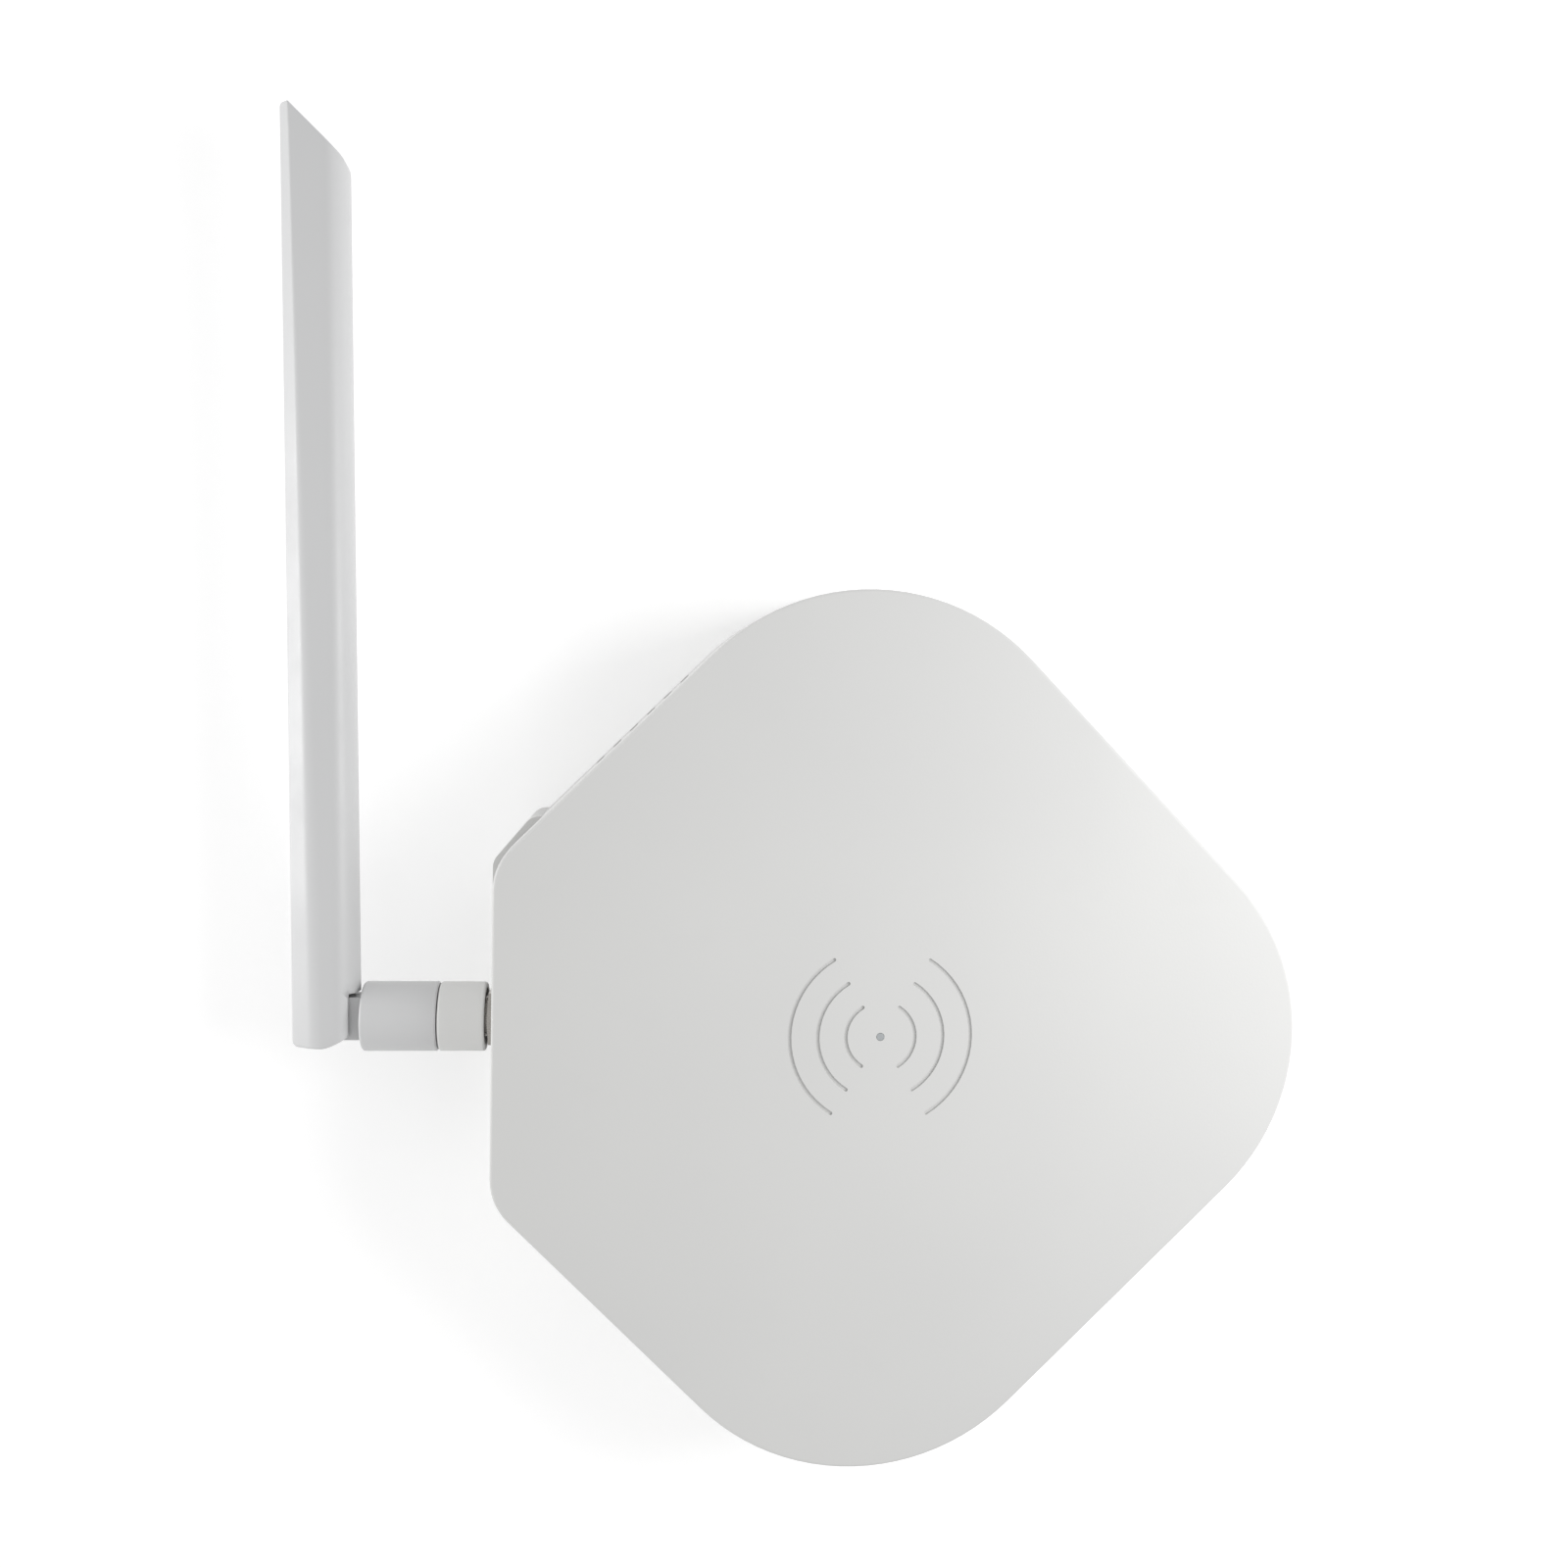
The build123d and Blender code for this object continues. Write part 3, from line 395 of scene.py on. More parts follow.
finishes = {
    "cover_plastic": cover_white,
    "case_plastic": case_white,
    "antenna_plastic": antenna_white,
    "soft_rubber": soft_rubber(),
    "label_paper": label_paper(),
    "screw_steel": metal("screw_steel", (0.58, 0.58, 0.57), 0.34, way=(1, 1, 0.05)),
    "tin_plate": metal("tin_plate", (0.70, 0.69, 0.66), 0.30, way=(0.06, 1, 1)),
    # Nickel is darker here than bright plating. That is painted shade for the narrow gap between the collar and
    # the housing's wall, where the jack sits.
    "nickel": metal("nickel", (0.46, 0.44, 0.41), 0.26, way=(0.3, 1, 1)),
    "gold": metal("gold", (0.86, 0.62, 0.27), 0.22),
    "brass": metal("brass", (0.72, 0.52, 0.24), 0.30, way=(1, 0.05, 1), streak=0.16, tarnish=0.25),
    "aluminium": metal("aluminium", (0.74, 0.75, 0.76), 0.36, way=(1, 0.05, 1), streak=0.16),
    "board": board_lacquer(),
    "chip_black": black_moulding("chip_black", (0.016, 0.016, 0.018), 0.5, 0.15 * MM),
    "port_black": black_moulding("port_black", (0.02, 0.02, 0.022), 0.42, 0.3 * MM),
    "lead_jacket": black_moulding("lead_jacket", (0.022, 0.022, 0.022), 0.4, 0.5 * MM),
    "white_insulator": moulded("white_insulator", (0.80, 0.80, 0.78), (0.76, 0.76, 0.74),
                               roughness=0.35, grain=0.3 * MM, grain_height=0.004 * MM),
    "thermal_grey": moulded("thermal_grey", (0.30, 0.34, 0.40), (0.26, 0.30, 0.36),
                            roughness=0.75, grain=0.3 * MM, grain_height=0.02 * MM),
    "foam": black_moulding("foam", (0.05, 0.05, 0.055), 0.85, 0.5 * MM),
    "light_pipe": clear_pipe(),
    "led": moulded("led", (0.80, 0.72, 0.45), (0.74, 0.64, 0.38),
                   roughness=0.3, grain=0.3 * MM, grain_height=0.002 * MM),
}
slot_of = {part["node"]: part["material_slot"] for part in frame["record"]["subparts"]}


def dress(node, finish):
    """Gives a CAD node its finish, in every material slot that it has."""
    mesh = frame["nodes"][node].data
    if not mesh.materials:
        mesh.materials.append(finish)
    for index in range(len(mesh.materials)):
        mesh.materials[index] = finish


for node_name, slot_name in slot_of.items():
    dress(node_name, finishes[slot_name])
print("dressed", len(slot_of), "CAD nodes in", len(finishes), "finishes")

# %% [markdown]
# ## Soft edges on the mouldings
# The frame's cover, case, plate, collar and sleeve have the right shape, but their edges are
# perfectly sharp, and no moulded edge is. A bevel modifier rounds them, but the frame's meshes are
# loose triangles, so first a copy is merged and its flat facets are joined. The rounded rims also
# draw the fine groove that shows where two mouldings meet. Weighted normals keep the large flat
# faces flat in the shading, right up to the rounding.

# %% Softened copies
def show(name, mesh, finish):
    """Puts a mesh in the scene as a new object with one finish."""
    piece = bpy.data.objects.new(name, mesh)
    bpy.context.scene.collection.objects.link(piece)
    mesh.materials.clear()
    mesh.materials.append(finish)
    return piece


def settle(piece):
    """Turns a piece with live modifiers into a plain mesh."""
    view = bpy.context.evaluated_depsgraph_get()
    plain = bpy.data.meshes.new_from_object(piece.evaluated_get(view), depsgraph=view)
    piece.modifiers.clear()
    piece.data = plain
    return piece


def smooth(mesh, hard=35):
    """Smooth shading, with an edge kept wherever two faces turn by more than hard degrees."""
    mesh.shade_smooth()
    mesh.set_sharp_from_angle(angle=radians(hard))


def round_edges(piece, width, hard=30):
    """Rounds a piece's hard edges by width metres, and evens out its normals."""
    round_off = piece.modifiers.new("round_off", "BEVEL")
    round_off.width = width
    round_off.segments = rounding_steps
    round_off.limit_method = "ANGLE"
    round_off.angle_limit = radians(hard)
    even = piece.modifiers.new("even", "WEIGHTED_NORMAL")
    even.keep_sharp = True
    return settle(piece)


def stand_for(piece, node):
    """The piece takes a CAD node's place, on its body."""
    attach(piece, body_of[node])
    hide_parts(node)
    print(piece.name, len(piece.data.polygons), "faces")


def merged_copy(node, name, flatten=False):
    """A copy of a CAD node's mesh with its points merged and, on request, its flats joined."""
    mesh = frame["nodes"][node].data.copy()
    mesh.name = name
    form = bmesh.new()
    form.from_mesh(mesh)
    bmesh.ops.remove_doubles(form, verts=form.verts, dist=merge_gap)
    if flatten:
        bmesh.ops.dissolve_degenerate(form, edges=form.edges, dist=sliver_gap)
        bmesh.ops.dissolve_limit(form, angle_limit=flat_angle, verts=form.verts, edges=form.edges)
    form.to_mesh(mesh)
    form.free()
    smooth(mesh)
    return mesh


rounding_steps = 2
merge_gap = 0.0005 * MM
sliver_gap = 0.002 * MM
flat_angle = radians(0.6)
body_of = {}
for body, nodes in frame["record"]["behaviour"]["bodies"].items():
    for node in nodes:
        body_of[node] = body

for node, name, finish, width in (
        ("top_cover", "cover_shell", cover_white, 0.10 * MM),
        ("bottom_case", "case_tray", case_white, 0.14 * MM),
        ("base_plate", "base_panel", case_white, 0.14 * MM),
        ("antenna_collar", "collar_cap", collar_white_painted_light, 0.10 * MM),
        ("antenna_sleeve", "swivel_sleeve", antenna_white, 0.15 * MM)):
    copy = merged_copy(node, name, flatten=True)
    stand_for(round_edges(show(name, copy, finish), width), node)

# %% [markdown]
# ## The antenna blade
# The blade is one long moulding whose section changes along its length: near the tip the left edge
# is a narrow, crisp bevel, and towards the hinge it widens and melts into the face. That is a loft:
# the same ring of points, laid out again at each station with that station's widths and radii.
# A ring needn't be flat, so the last rings lean over until they lie on the slanted tip.
# The blade is worked out in its own frame, with the hinge pin at the origin and +Y to the tip.

# %% The blade's frame and size
tilt = next(joint for joint in frame["joints"] if joint["name"] == "antenna_tilt")
pivot = Vector(tilt["pos_m"])
lean = radians(-tilt["range_deg"][0])
to_frame = Matrix.Translation(pivot) @ Matrix.Rotation(lean, 4, "Z")
to_blade = to_frame.inverted()
own = [to_blade @ vertex.co for vertex in frame["nodes"]["antenna_blade"].data.vertices]
inside = 0.03 * MM
blade_left = min(point.x for point in own) + inside
blade_right = max(point.x for point in own)
blade_low = min(point.y for point in own)
blade_tip = max(point.y for point in own) - inside
blade_half = max(point.z for point in own)
blade_sizes = (blade_left, blade_right, blade_low, blade_tip, blade_half)
print("blade", [round(size / MM, 2) for size in blade_sizes])

# %% The blade's outline
cheek_right = 4.1 * MM
cheek_low = -2.6 * MM
cheek_start = 0.3 * MM
shoulder = 3.9 * MM
shoulder_rise = 2.05 * MM
shoulder_slope = radians(41)
tip_corner = 0.45 * MM
foot_corner = 0.9 * MM
narrowing = 0.4 * MM
slope_start = -3.0 * MM
slope_end = 4.3 * MM
slope_drop = 7.0 * MM
side_drop = 8.9 * MM


def ease(t):
    """A value from 0 to 1 that starts and stops gently."""
    t = min(max(t, 0.0), 1.0)
    return t * t * (3 - 2 * t)


def mix(t, first, second):
    """The value a fraction t of the way from first to second."""
    return first + (second - first) * t


def quarter(t):
    """Height of a quarter circle at t, which runs from 0 at its foot to 1 at its top."""
    return sqrt(max(0.0, 1 - (1 - min(t, 1.0)) ** 2))


def right_edge(y):
    """Where the blade's right side is at that height: it narrows a little to the tip."""
    return blade_right - narrowing * max(y - shoulder, 0.0) / (blade_tip - shoulder)


def tip_line(x):
    """Height of the tip over x: a small round corner, a short flat, the slant and a last round."""
    if x < blade_left + tip_corner:
        return blade_tip - tip_corner + tip_corner * quarter((x - blade_left) / tip_corner)
    if x < slope_start:
        return blade_tip
    if x < slope_end:
        return blade_tip - slope_drop * (x - slope_start) / (slope_end - slope_start)
    over = (x - slope_end) / (right_edge(blade_tip) - slope_end)
    return blade_tip - mix((over + over * over) / 2, slope_drop, side_drop)


def foot_line(x):
    """Height of the blade's lower end over x: a round corner, a flat, then the cheek's curve."""
    if x < blade_left + foot_corner:
        return blade_low + foot_corner - foot_corner * quarter((x - blade_left) / foot_corner)
    if x < cheek_start:
        return blade_low
    across = (x - cheek_start) / (cheek_right - cheek_start)
    return blade_low + (cheek_low - blade_low) * across ** 1.5


slope_run = slope_end - slope_start
print("tip slants by", round(slope_drop / MM, 1), "mm over", round(slope_run / MM, 1), "mm")

# %% The blade's section
edge_round = 0.45 * MM
bow = 0.3 * MM
bevel_wide = (3.7 * MM, 1.5 * MM)
bevel_melt = (4.2 * MM, 0.5 * MM)
bevel_slope = (0.62, 1.0)
crisp_round = 0.35 * MM
side_round = 3.2 * MM
side_power = 2.2
crisp_steps, bevel_steps, melt_steps, face_steps, side_steps = 3, 6, 8, 10, 10
most_before, most_after = 0.9, 0.7


def round_corner(before, turn, after, radius, steps):
    """Points of the curve that replaces a corner between two straight runs."""
    first = (before - turn).normalized()
    second = (after - turn).normalized()
    reach = radius * tan((pi - first.angle(second)) / 2)
    start = turn + first * min(reach, most_before * (before - turn).length)
    end = turn + second * min(reach, most_after * (after - turn).length)
    points = []
    for step in range(steps + 1):
        t = step / steps
        points.append(start.lerp(turn, t).lerp(turn.lerp(end, t), t))
    return points


def upper_half(along, right):
    """The upper half of a section at along, 0 at the hinge and 1 at the tip, from left to right."""
    wide = mix(along, *bevel_wide)
    foot = Vector((blade_left, 0.0))
    edge = Vector((blade_left, blade_half - mix(along, *bevel_slope) * wide))
    brow = Vector((blade_left + wide, blade_half))
    side = Vector((right, blade_half))
    points = [foot] + round_corner(foot, edge, brow, crisp_round, crisp_steps)
    melting = round_corner(edge, brow, side, mix(ease(along), *bevel_melt), melt_steps)
    bevel_start = points[-1]
    for step in range(1, bevel_steps):
        points.append(bevel_start.lerp(melting[0], step / bevel_steps))
    points += melting
    flat_start = points[-1].x
    for step in range(1, face_steps + 1):
        across = mix(step / face_steps, flat_start, right - side_round)
        points.append(Vector((across, blade_half)))
    for step in range(1, side_steps + 1):
        turn = pi / 2 * step / side_steps
        points.append(Vector((right - side_round + side_round * sin(turn), blade_half)))
    for point in points[1:]:
        over = max(point.x - brow.x, 0.0) / (right - brow.x)
        out = max(point.x - (right - side_round), 0.0) / side_round
        point.y = (point.y - bow * over ** 2) * sqrt(max(0.0, 1 - out ** side_power))
    return points


def blade_ring(along, y_for_side, height_at, inset):
    """One closed ring: the upper half, then the lower half mirrored back to the start.

    Its height follows height_at over the width, and it is thinner by inset on each face.
    """
    thin = 1 - inset / blade_half
    upper = [Vector((point.x, height_at(point.x), point.y * thin))
             for point in upper_half(along, right_edge(y_for_side))]
    return upper + [Vector((point.x, point.y, -point.z)) for point in reversed(upper[1:-1])]


# %% The blade's rings
end_steps = 3
level = 3.0 * MM
stations = [level, 6.0 * MM, 9.0 * MM, 12.0 * MM]
long_start, long_end, long_spans = 16 * MM, 118 * MM, 14
stations += [mix(step / long_spans, long_start, long_end) for step in range(long_spans + 1)]


def blade_rings():
    """Every ring, from the lower end to the tip."""
    rings = []
    turns = [pi / 2 * step / end_steps for step in range(end_steps + 1)]
    for turn in turns:
        rise = edge_round * (1 - cos(turn))
        rings.append(blade_ring(0.0, blade_low, lambda x: foot_line(x) + rise,
                                edge_round * (1 - sin(turn))))
    for t in (0.33, 0.67):
        rings.append(blade_ring(0.0, blade_low,
                                lambda x: mix(t, foot_line(x) + edge_round, level), 0.0))
    for height in stations:
        rings.append(blade_ring(max(height, 0.0) / blade_tip, height, lambda x: height, 0.0))
    top = stations[-1]
    for t in (0.25, 0.5, 0.75, 1.0):
        side_y = mix(t, top, blade_tip - side_drop)
        rings.append(blade_ring(mix(t, top / blade_tip, 1.0), side_y,
                                lambda x: mix(t, top, tip_line(x) - edge_round), 0.0))
    for turn in turns[1:]:
        drop = edge_round * (1 - sin(turn))
        rings.append(blade_ring(1.0, blade_tip - side_drop, lambda x: tip_line(x) - drop,
                                edge_round * (1 - cos(turn))))
    return rings


def blade_form():
    """The closed blade, in the frame's own place."""
    form = bmesh.new()
    rings = [[form.verts.new(to_frame @ point) for point in ring] for ring in blade_rings()]
    count = len(rings[0])
    for lower, upper in zip(rings, rings[1:]):
        for index in range(count):
            after = (index + 1) % count
            form.faces.new((lower[index], upper[index], upper[after], lower[after]))
    for ring, turned in ((rings[0], False), (rings[-1], True)):
        for index in range(count // 2):
            mirrored = [ring[(count - index - 1) % count], ring[(count - index) % count]]
            face = list(dict.fromkeys([ring[index], ring[index + 1], *mirrored]))
            form.faces.new(face[::-1] if turned else face)
    bmesh.ops.recalc_face_normals(form, faces=form.faces)
    mesh = bpy.data.meshes.new("antenna_paddle")
    form.to_mesh(mesh)
    form.free()
    return mesh


# %% [markdown]
# The hinge end is a fork: a slot takes the sleeve's tongue between two cheeks. Cutting it out of
# the finished loft with a boolean keeps the loft simple, and the same goes for the sloped shoulder
# over the fork, the bore that holds the lead and the holes of the two hinge pins. The cutters are
# thrown away afterwards, and the hard edges that are left are rounded.

# %% Fork, bore and pin holes
def prism(outline, low, high, turn=Matrix.Identity(4)):
    """A cutter: an outline in X and Y, raised from low to high, turned and put in the frame."""
    form = bmesh.new()
    floor_ring = [form.verts.new(to_frame @ turn @ Vector((x, y, low))) for x, y in outline]
    roof_ring = [form.verts.new(to_frame @ turn @ Vector((x, y, high))) for x, y in outline]
    form.faces.new(floor_ring[::-1])
    form.faces.new(roof_ring)
    for index in range(len(outline)):
        after = (index + 1) % len(outline)
        form.faces.new((floor_ring[index], floor_ring[after], roof_ring[after], roof_ring[index]))
    bmesh.ops.recalc_face_normals(form, faces=form.faces)
    mesh = bpy.data.meshes.new("cutter")
    form.to_mesh(mesh)
    form.free()
    return show("cutter", mesh, antenna_white)


def circle(radius, steps, start=0.0, end=2 * pi):
    """Points round a circle, the last one left out on a full turn."""
    last = steps if end - start > 2 * pi - 0.01 else steps - 1
    return [(radius * cos(mix(step / last, start, end)), radius * sin(mix(step / last, start, end)))
            for step in range(steps)]


def carve(piece, cutters):
    """Cuts each cutter out of the piece, and deletes the cutter."""
    for cutter in cutters:
        cut = piece.modifiers.new("cut", "BOOLEAN")
        cut.solver = "EXACT"
        cut.object = cutter
        settle(piece)
        bpy.data.objects.remove(cutter)


slot_radius = 3.4 * MM
slot_half = 2.45 * MM
slot_top = slot_radius + 0.2 * MM
far = 12 * MM
slot_outline = [(-slot_radius, -far), (far, -far), (far, slot_top), (0.0, slot_top)]
slot_outline += circle(slot_radius, 24, pi / 2, pi)
round_steps = 32
bore_radius = 2.5 * MM
bore_start, bore_end = 3.0 * MM, 126 * MM
bore_middle = (blade_left + blade_right) / 2
bore_turn = Matrix.Translation((bore_middle, 0, 0)) @ Matrix.Rotation(-pi / 2, 4, "X")
paddle = show("antenna_paddle", blade_form(), antenna_white)
cheek_outline = [(cheek_right, -far), (far, -far), (far, shoulder), (cheek_right, shoulder)]
pin_radius, pin_reach = 1.2 * MM, 3.6 * MM
facet_overlap = 0.5 * MM
facet_start, facet_end = 3.6 * MM, 2.4 * MM
fork_hard = 50
fork_round = 0.12 * MM


def facet(side):
    """A cutter for the sloped shoulder over the fork, on the upper (1) or lower (-1) face."""
    start = Vector((cheek_right - facet_overlap, shoulder, side * facet_start))
    end = Vector((blade_right, shoulder + shoulder_rise, side * facet_end))
    along = (end - start).normalized()
    outward = Vector((along.y * sin(shoulder_slope), -along.x * sin(shoulder_slope),
                      side * cos(shoulder_slope)))
    outward = (outward - along * outward.dot(along)).normalized()
    turn = Matrix((along, outward.cross(along), outward)).transposed().to_4x4()
    turn.translation = start
    return prism([(0.0, -far), (far, -far), (far, far), (0.0, far)], 0.0, far, turn)


carve(paddle, [
    prism(cheek_outline, -far, far), facet(1), facet(-1),
    prism(slot_outline, -slot_half, slot_half),
    prism(circle(bore_radius, round_steps), bore_start, bore_end, bore_turn),
    prism(circle(pin_radius, round_steps), -pin_reach, pin_reach)])
smooth(paddle.data, fork_hard)
stand_for(round_edges(paddle, fork_round, fork_hard), "antenna_blade")

# %% [markdown]
# ## The lead over the hinge
# The antenna's lead bends at the hinge, and it straightens as the blade folds out. A rigid copy keeps its bend
# and would stick out of the knuckle once the blade folds out. This one is such a rigid copy, merged from the
# frame's lead and put in its place, in the lead's finish.

# %% Hinge lead
hinge_mesh = merged_copy("hinge_lead", "hinge_cable")
hinge_cable = show("hinge_cable", hinge_mesh, finishes[slot_of["hinge_lead"]])
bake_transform(hinge_cable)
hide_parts("hinge_lead")

# %% [markdown]
# ## Pieces that repeat: Geometry Nodes
# A ring of moulded ribs or a field of tiny board parts is one small shape placed many times. A
# Geometry Nodes tree says that rule once, and its named inputs are the sizes. The tree ends in
# Realize Instances and Set Material, so the result is an ordinary mesh with its finish.

# %% Geometry tree helper
class Form(Graph):
    """A Geometry Nodes tree in the making, with named inputs."""

    def __init__(self, name, **sizes):
        self.tree = bpy.data.node_groups.new(name, "GeometryNodeTree")
        self.keys = {}
        for key, value in sizes.items():
            kind = "NodeSocketInt" if isinstance(value, int) else "NodeSocketFloat"
            socket = self.tree.interface.new_socket(name=key, in_out="INPUT", socket_type=kind)
            socket.default_value = value
            self.keys[key] = socket.identifier
        self.tree.interface.new_socket(name="Geometry", in_out="OUTPUT",
                                       socket_type="NodeSocketGeometry")
        self.given = self.tree.nodes.new("NodeGroupInput")

    def size(self, key):
        """One of the named inputs."""
        return Wire(self, pick(self.given.outputs, self.keys[key]))

    def at(self, x=0.0, y=0.0, z=0.0):
        """A point or a set of angles from three numbers or wires."""
        return self.node("ShaderNodeCombineXYZ", None, {0: x, 1: y, 2: z})

    def moved(self, shape, place):
        """The shape, moved."""
        return self.node("GeometryNodeTransform", None, {"Geometry": shape, "Translation": place})

    def joined(self, shapes):
        """Several shapes as one."""
        return self.node("GeometryNodeJoinGeometry", None, {"Geometry": shapes})

    def bar(self, length, width, height, soft):
        """A bar along X with rounded long edges and flat ends."""
        spine = self.node("GeometryNodeCurvePrimitiveLine", {"mode": "POINTS"},
                          {"Start": self.at(length * -0.5), "End": self.at(length * 0.5)})
        outline = self.node("GeometryNodeCurvePrimitiveQuadrilateral", {"mode": "RECTANGLE"},
                            {"Width": width, "Height": height})
        outline = self.node("GeometryNodeFilletCurve", {"mode": "POLY"},
                            {"Curve": outline, "Count": 2, "Radius": soft, "Limit Radius": True})
        return self.node("GeometryNodeCurveToMesh", None,
                         {"Curve": spine, "Profile Curve": outline, "Fill Caps": True})

    def done(self, shape, finish):
        """Ends the tree."""
        whole = self.node("GeometryNodeRealizeInstances", None, {"Geometry": shape})
        faced = self.node("GeometryNodeSetMaterial", None, {"Geometry": whole, "Material": finish})
        self.feed(self.tree.nodes.new("NodeGroupOutput").inputs[0], faced)
        return self


def grow(name, form, finish, **sizes):
    """Runs a tree with its inputs set, and keeps the plain mesh with its faces turned outwards."""
    piece = show(name, bpy.data.meshes.new(name), finish)
    maker = piece.modifiers.new("form", "NODES")
    maker.node_group = form.tree
    for key, value in sizes.items():
        maker[form.keys[key]] = value
    settle(piece)
    mesh = bmesh.new()
    mesh.from_mesh(piece.data)
    bmesh.ops.recalc_face_normals(mesh, faces=mesh.faces)
    mesh.to_mesh(piece.data)
    mesh.free()
    smooth(piece.data)
    spans = [max(values) - min(values) for values in zip(*(v.co for v in piece.data.vertices))]
    print(name, len(piece.data.polygons), "faces", [round(span / MM, 2) for span in spans], "mm")
    return piece


# %% [markdown]
# ## Ring foot
# The router stands on a soft ring. Its underside has short radial ribs, so it grips the table and
# comes out of its mould easily. The band is a rounded section swept round a circle, and a circle
# with as many points as there are ribs says where each rib goes: its number sets how far it turns.

# %% Ring foot
foot_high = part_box("rubber_foot")[1]
band_inset = 2.25 * MM
band_width = 4.2 * MM
band_soft = 0.4 * MM
rib_soft = 0.2 * MM
band_steps = 192
foot = Form("ring_foot", middle=foot_high[0] - band_inset, width=band_width, top=foot_high[2],
            under=0.3 * MM, ribs=96, rib_length=3.0 * MM, rib_width=1.3 * MM)
band_height = foot.size("top") - foot.size("under")
ring = foot.node("GeometryNodeCurvePrimitiveCircle", {"mode": "RADIUS"},
                 {"Resolution": band_steps, "Radius": foot.size("middle")})
outline = foot.node("GeometryNodeCurvePrimitiveQuadrilateral", {"mode": "RECTANGLE"},
                    {"Width": foot.size("width"), "Height": band_height})
outline = foot.node("GeometryNodeFilletCurve", {"mode": "POLY"},
                    {"Curve": outline, "Count": 3, "Radius": band_soft})
band = foot.node("GeometryNodeCurveToMesh", None, {"Curve": ring, "Profile Curve": outline})
band = foot.moved(band, foot.at(z=foot.size("under") + band_height * 0.5))
spots = foot.node("GeometryNodeCurvePrimitiveCircle", {"mode": "RADIUS"},
                  {"Resolution": foot.size("ribs"), "Radius": foot.size("middle")})
turn = foot.node("GeometryNodeInputIndex") * (2 * pi) / foot.size("ribs")
turn = foot.node("FunctionNodeEulerToRotation", None, {0: foot.at(z=turn)})
rib = foot.bar(foot.size("rib_length"), foot.size("rib_width"), foot.size("under") * 2, rib_soft)
ribs = foot.node("GeometryNodeInstanceOnPoints", None,
                 {"Points": spots, "Instance": rib, "Rotation": turn})
ribs = foot.moved(ribs, foot.at(z=foot.size("under")))
foot.done(foot.joined([band, ribs]), finishes["soft_rubber"])
stand_for(grow("ring_foot", foot, finishes["soft_rubber"], ribs=108), "rubber_foot")

# %% [markdown]
# ## Small parts on the board
# Between the large chips a circuit board is full of tiny resistors and capacitors: a dark body
# with a tinned end on either side. They stand on a grid, because a machine places them, but some
# places are empty and some are turned a quarter. Both trees share one seed, so the ends land on
# their bodies. Bodies and ends are two pieces, because each piece has one finish. The free fields
# of the board are given by their left, low, right and top sides, in millimetres like the pitch.

# %% Board parts
board_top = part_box("main_board")[1][2]
part_pitch = 2.6
fields = [(-20, -34, -4, -20), (-14, -12, -3, 2), (2, 32, 24, 44), (37, 6, 49, 18),
          (-28, 32, -12, 42)]
body_share, body_thin, body_soft = 0.7, 0.92, 0.05 * MM
end_share, end_off, end_soft = 0.2, 0.4, 0.08 * MM


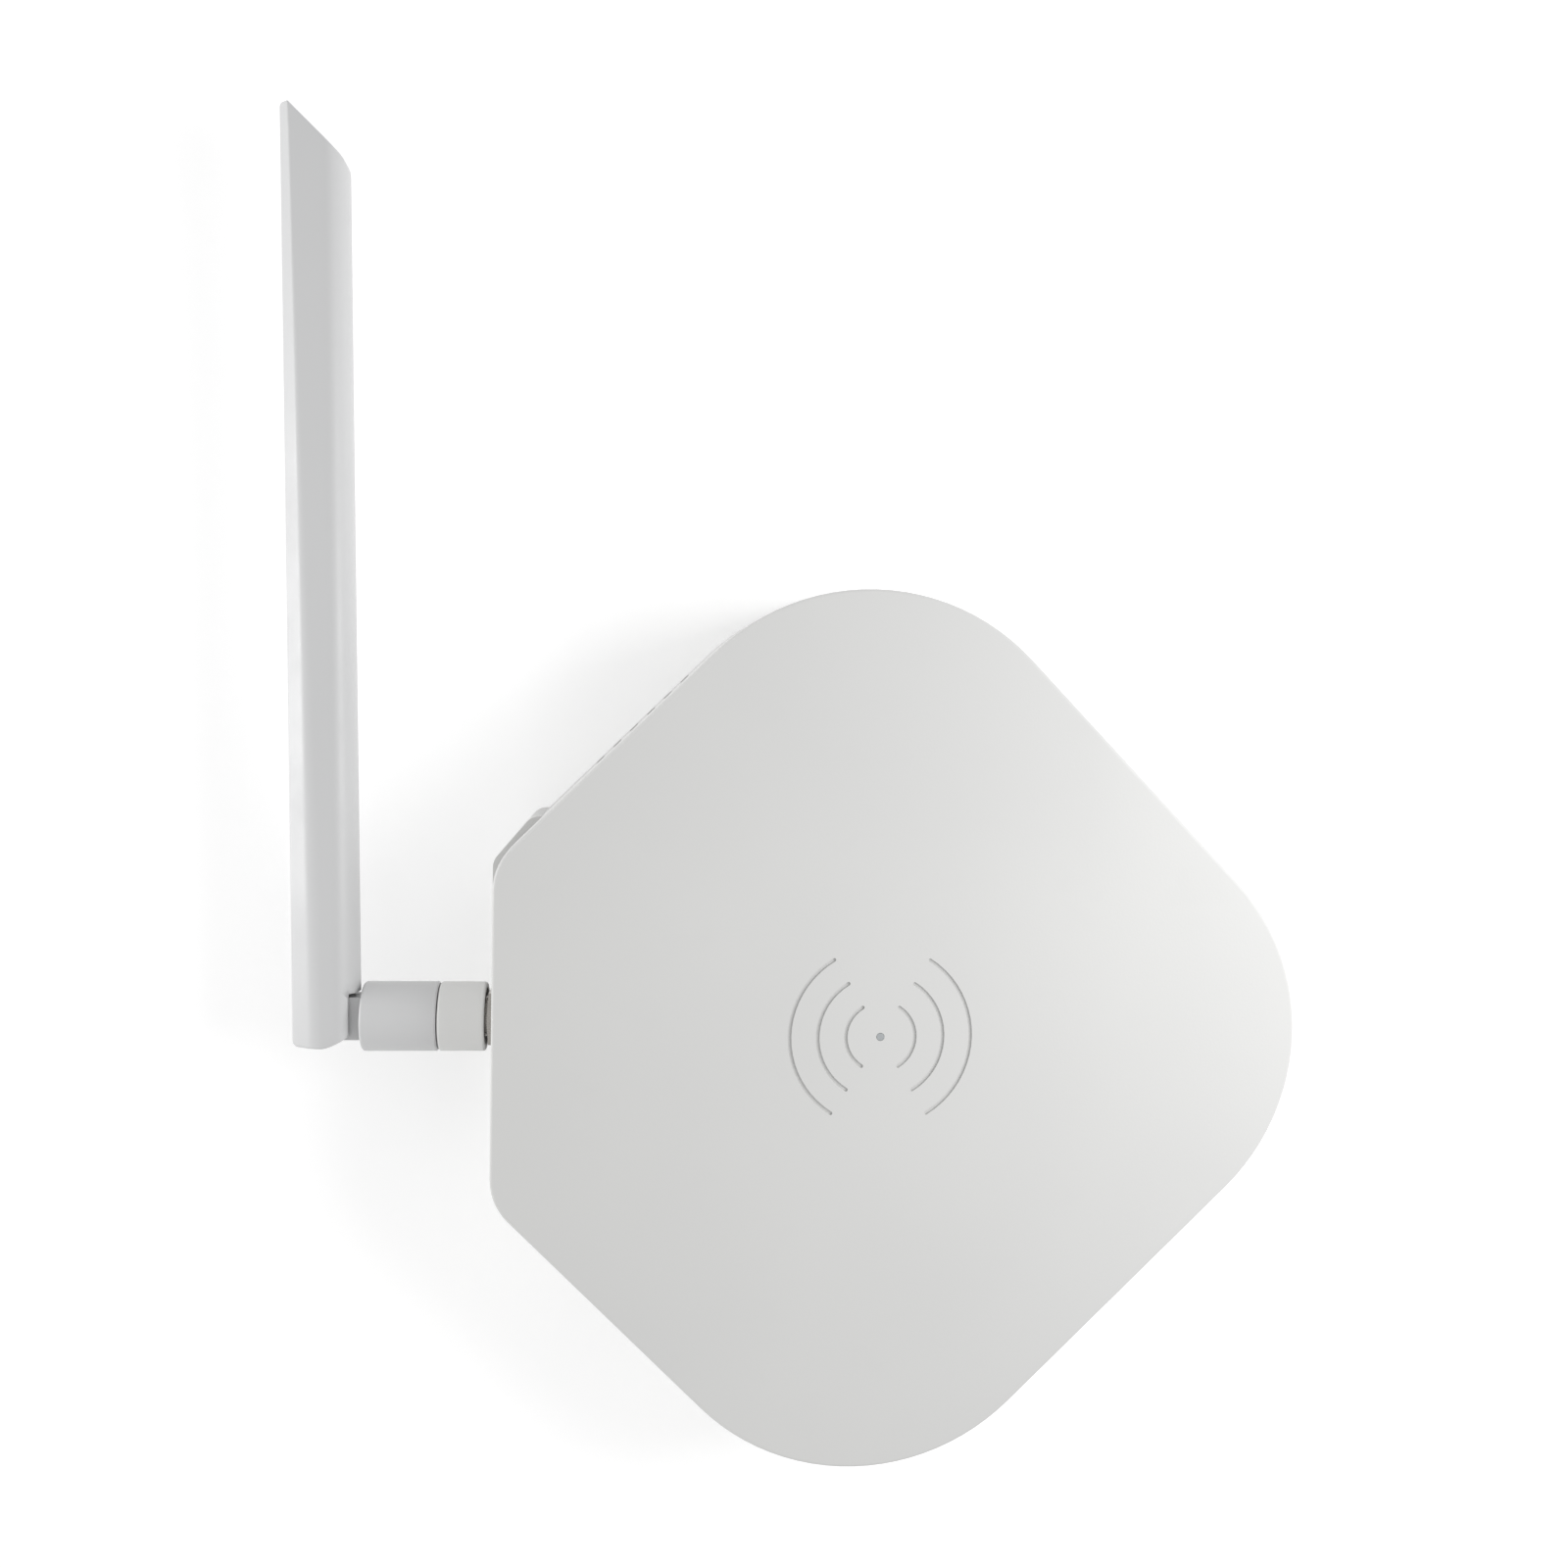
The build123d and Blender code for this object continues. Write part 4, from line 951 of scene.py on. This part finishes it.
def board_parts(name, shape_of, finish):
    """A tree that places one shape over the free fields of the board."""
    form = Form(name, length=1.6 * MM, width=0.8 * MM, height=0.5 * MM, filled=0.62, seed=7)
    grids = []
    for left, low, right, top in fields:
        across, along = right - left, top - low
        grid = form.node("GeometryNodeMeshGrid", None, {
            "Size X": across * MM, "Size Y": along * MM,
            "Vertices X": int(across / part_pitch) + 1,
            "Vertices Y": int(along / part_pitch) + 1}, "Mesh")
        middle = form.at((left + right) / 2 * MM, (low + top) / 2 * MM, board_top)
        grids.append(form.moved(grid, middle))
    spots = form.node("GeometryNodeMeshToPoints", None, {"Mesh": form.joined(grids)})
    chosen = form.node("FunctionNodeRandomValue", {"data_type": "BOOLEAN"},
                       {"Probability": form.size("filled"), "Seed": form.size("seed")}, 3)
    turned = form.node("FunctionNodeRandomValue", {"data_type": "INT"},
                       {"Min_002": 0, "Max_002": 1, "Seed": form.size("seed") + 1}, 2)
    turn = form.node("FunctionNodeEulerToRotation", None, {0: form.at(z=turned * (pi / 2))})
    parts = form.node("GeometryNodeInstanceOnPoints", None, {
        "Points": spots, "Selection": chosen, "Instance": shape_of(form), "Rotation": turn})
    return form.done(parts, finish)


def part_body(form):
    """The dark ceramic body, between the ends."""
    body = form.bar(form.size("length") * body_share, form.size("width") * body_thin,
                    form.size("height") * body_thin, body_soft)
    return form.moved(body, form.at(z=form.size("height") * 0.5))


def part_ends(form):
    """The two tinned ends."""
    end = form.bar(form.size("length") * end_share, form.size("width"), form.size("height"),
                   end_soft)
    off, up = form.size("length") * end_off, form.size("height") * 0.5
    return form.joined([form.moved(end, form.at(off, 0.0, up)),
                        form.moved(end, form.at(off * -1.0, 0.0, up))])


for name, shape_of, slot in (("part_bodies", part_body, "chip_black"),
                             ("part_ends", part_ends, "tin_plate")):
    piece = grow(name, board_parts(name, shape_of, finishes[slot]), finishes[slot], seed=11)
    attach(piece, body_of["main_board"])

# %% [markdown]
# ## Floor
# The floor is a light table that glows a little, which is how a studio keeps shadows pale.

# %% Floor
floor_half = 12.0
floor_glow = 0.25
floor_corners = [(-floor_half, -floor_half, 0), (floor_half, -floor_half, 0),
                 (floor_half, floor_half, 0), (-floor_half, floor_half, 0)]
floor_mesh = bpy.data.meshes.new("floor")
floor_mesh.from_pydata(floor_corners, [], [(0, 1, 2, 3)])
floor = bpy.data.objects.new("floor", floor_mesh)
bpy.context.scene.collection.objects.link(floor)
floor_make = Recipe("floor_card")
floor_noise = floor_make.noise(floor_make.place(), 0.5 * MM, 2.0)
floor_mesh.materials.append(floor_make.finish(
    Base_Color=floor_make.blend(floor_noise, (0.93, 0.93, 0.93), (0.90, 0.90, 0.90)), Roughness=0.8,
    Emission_Color=(1.0, 1.0, 1.0), Emission_Strength=floor_glow))
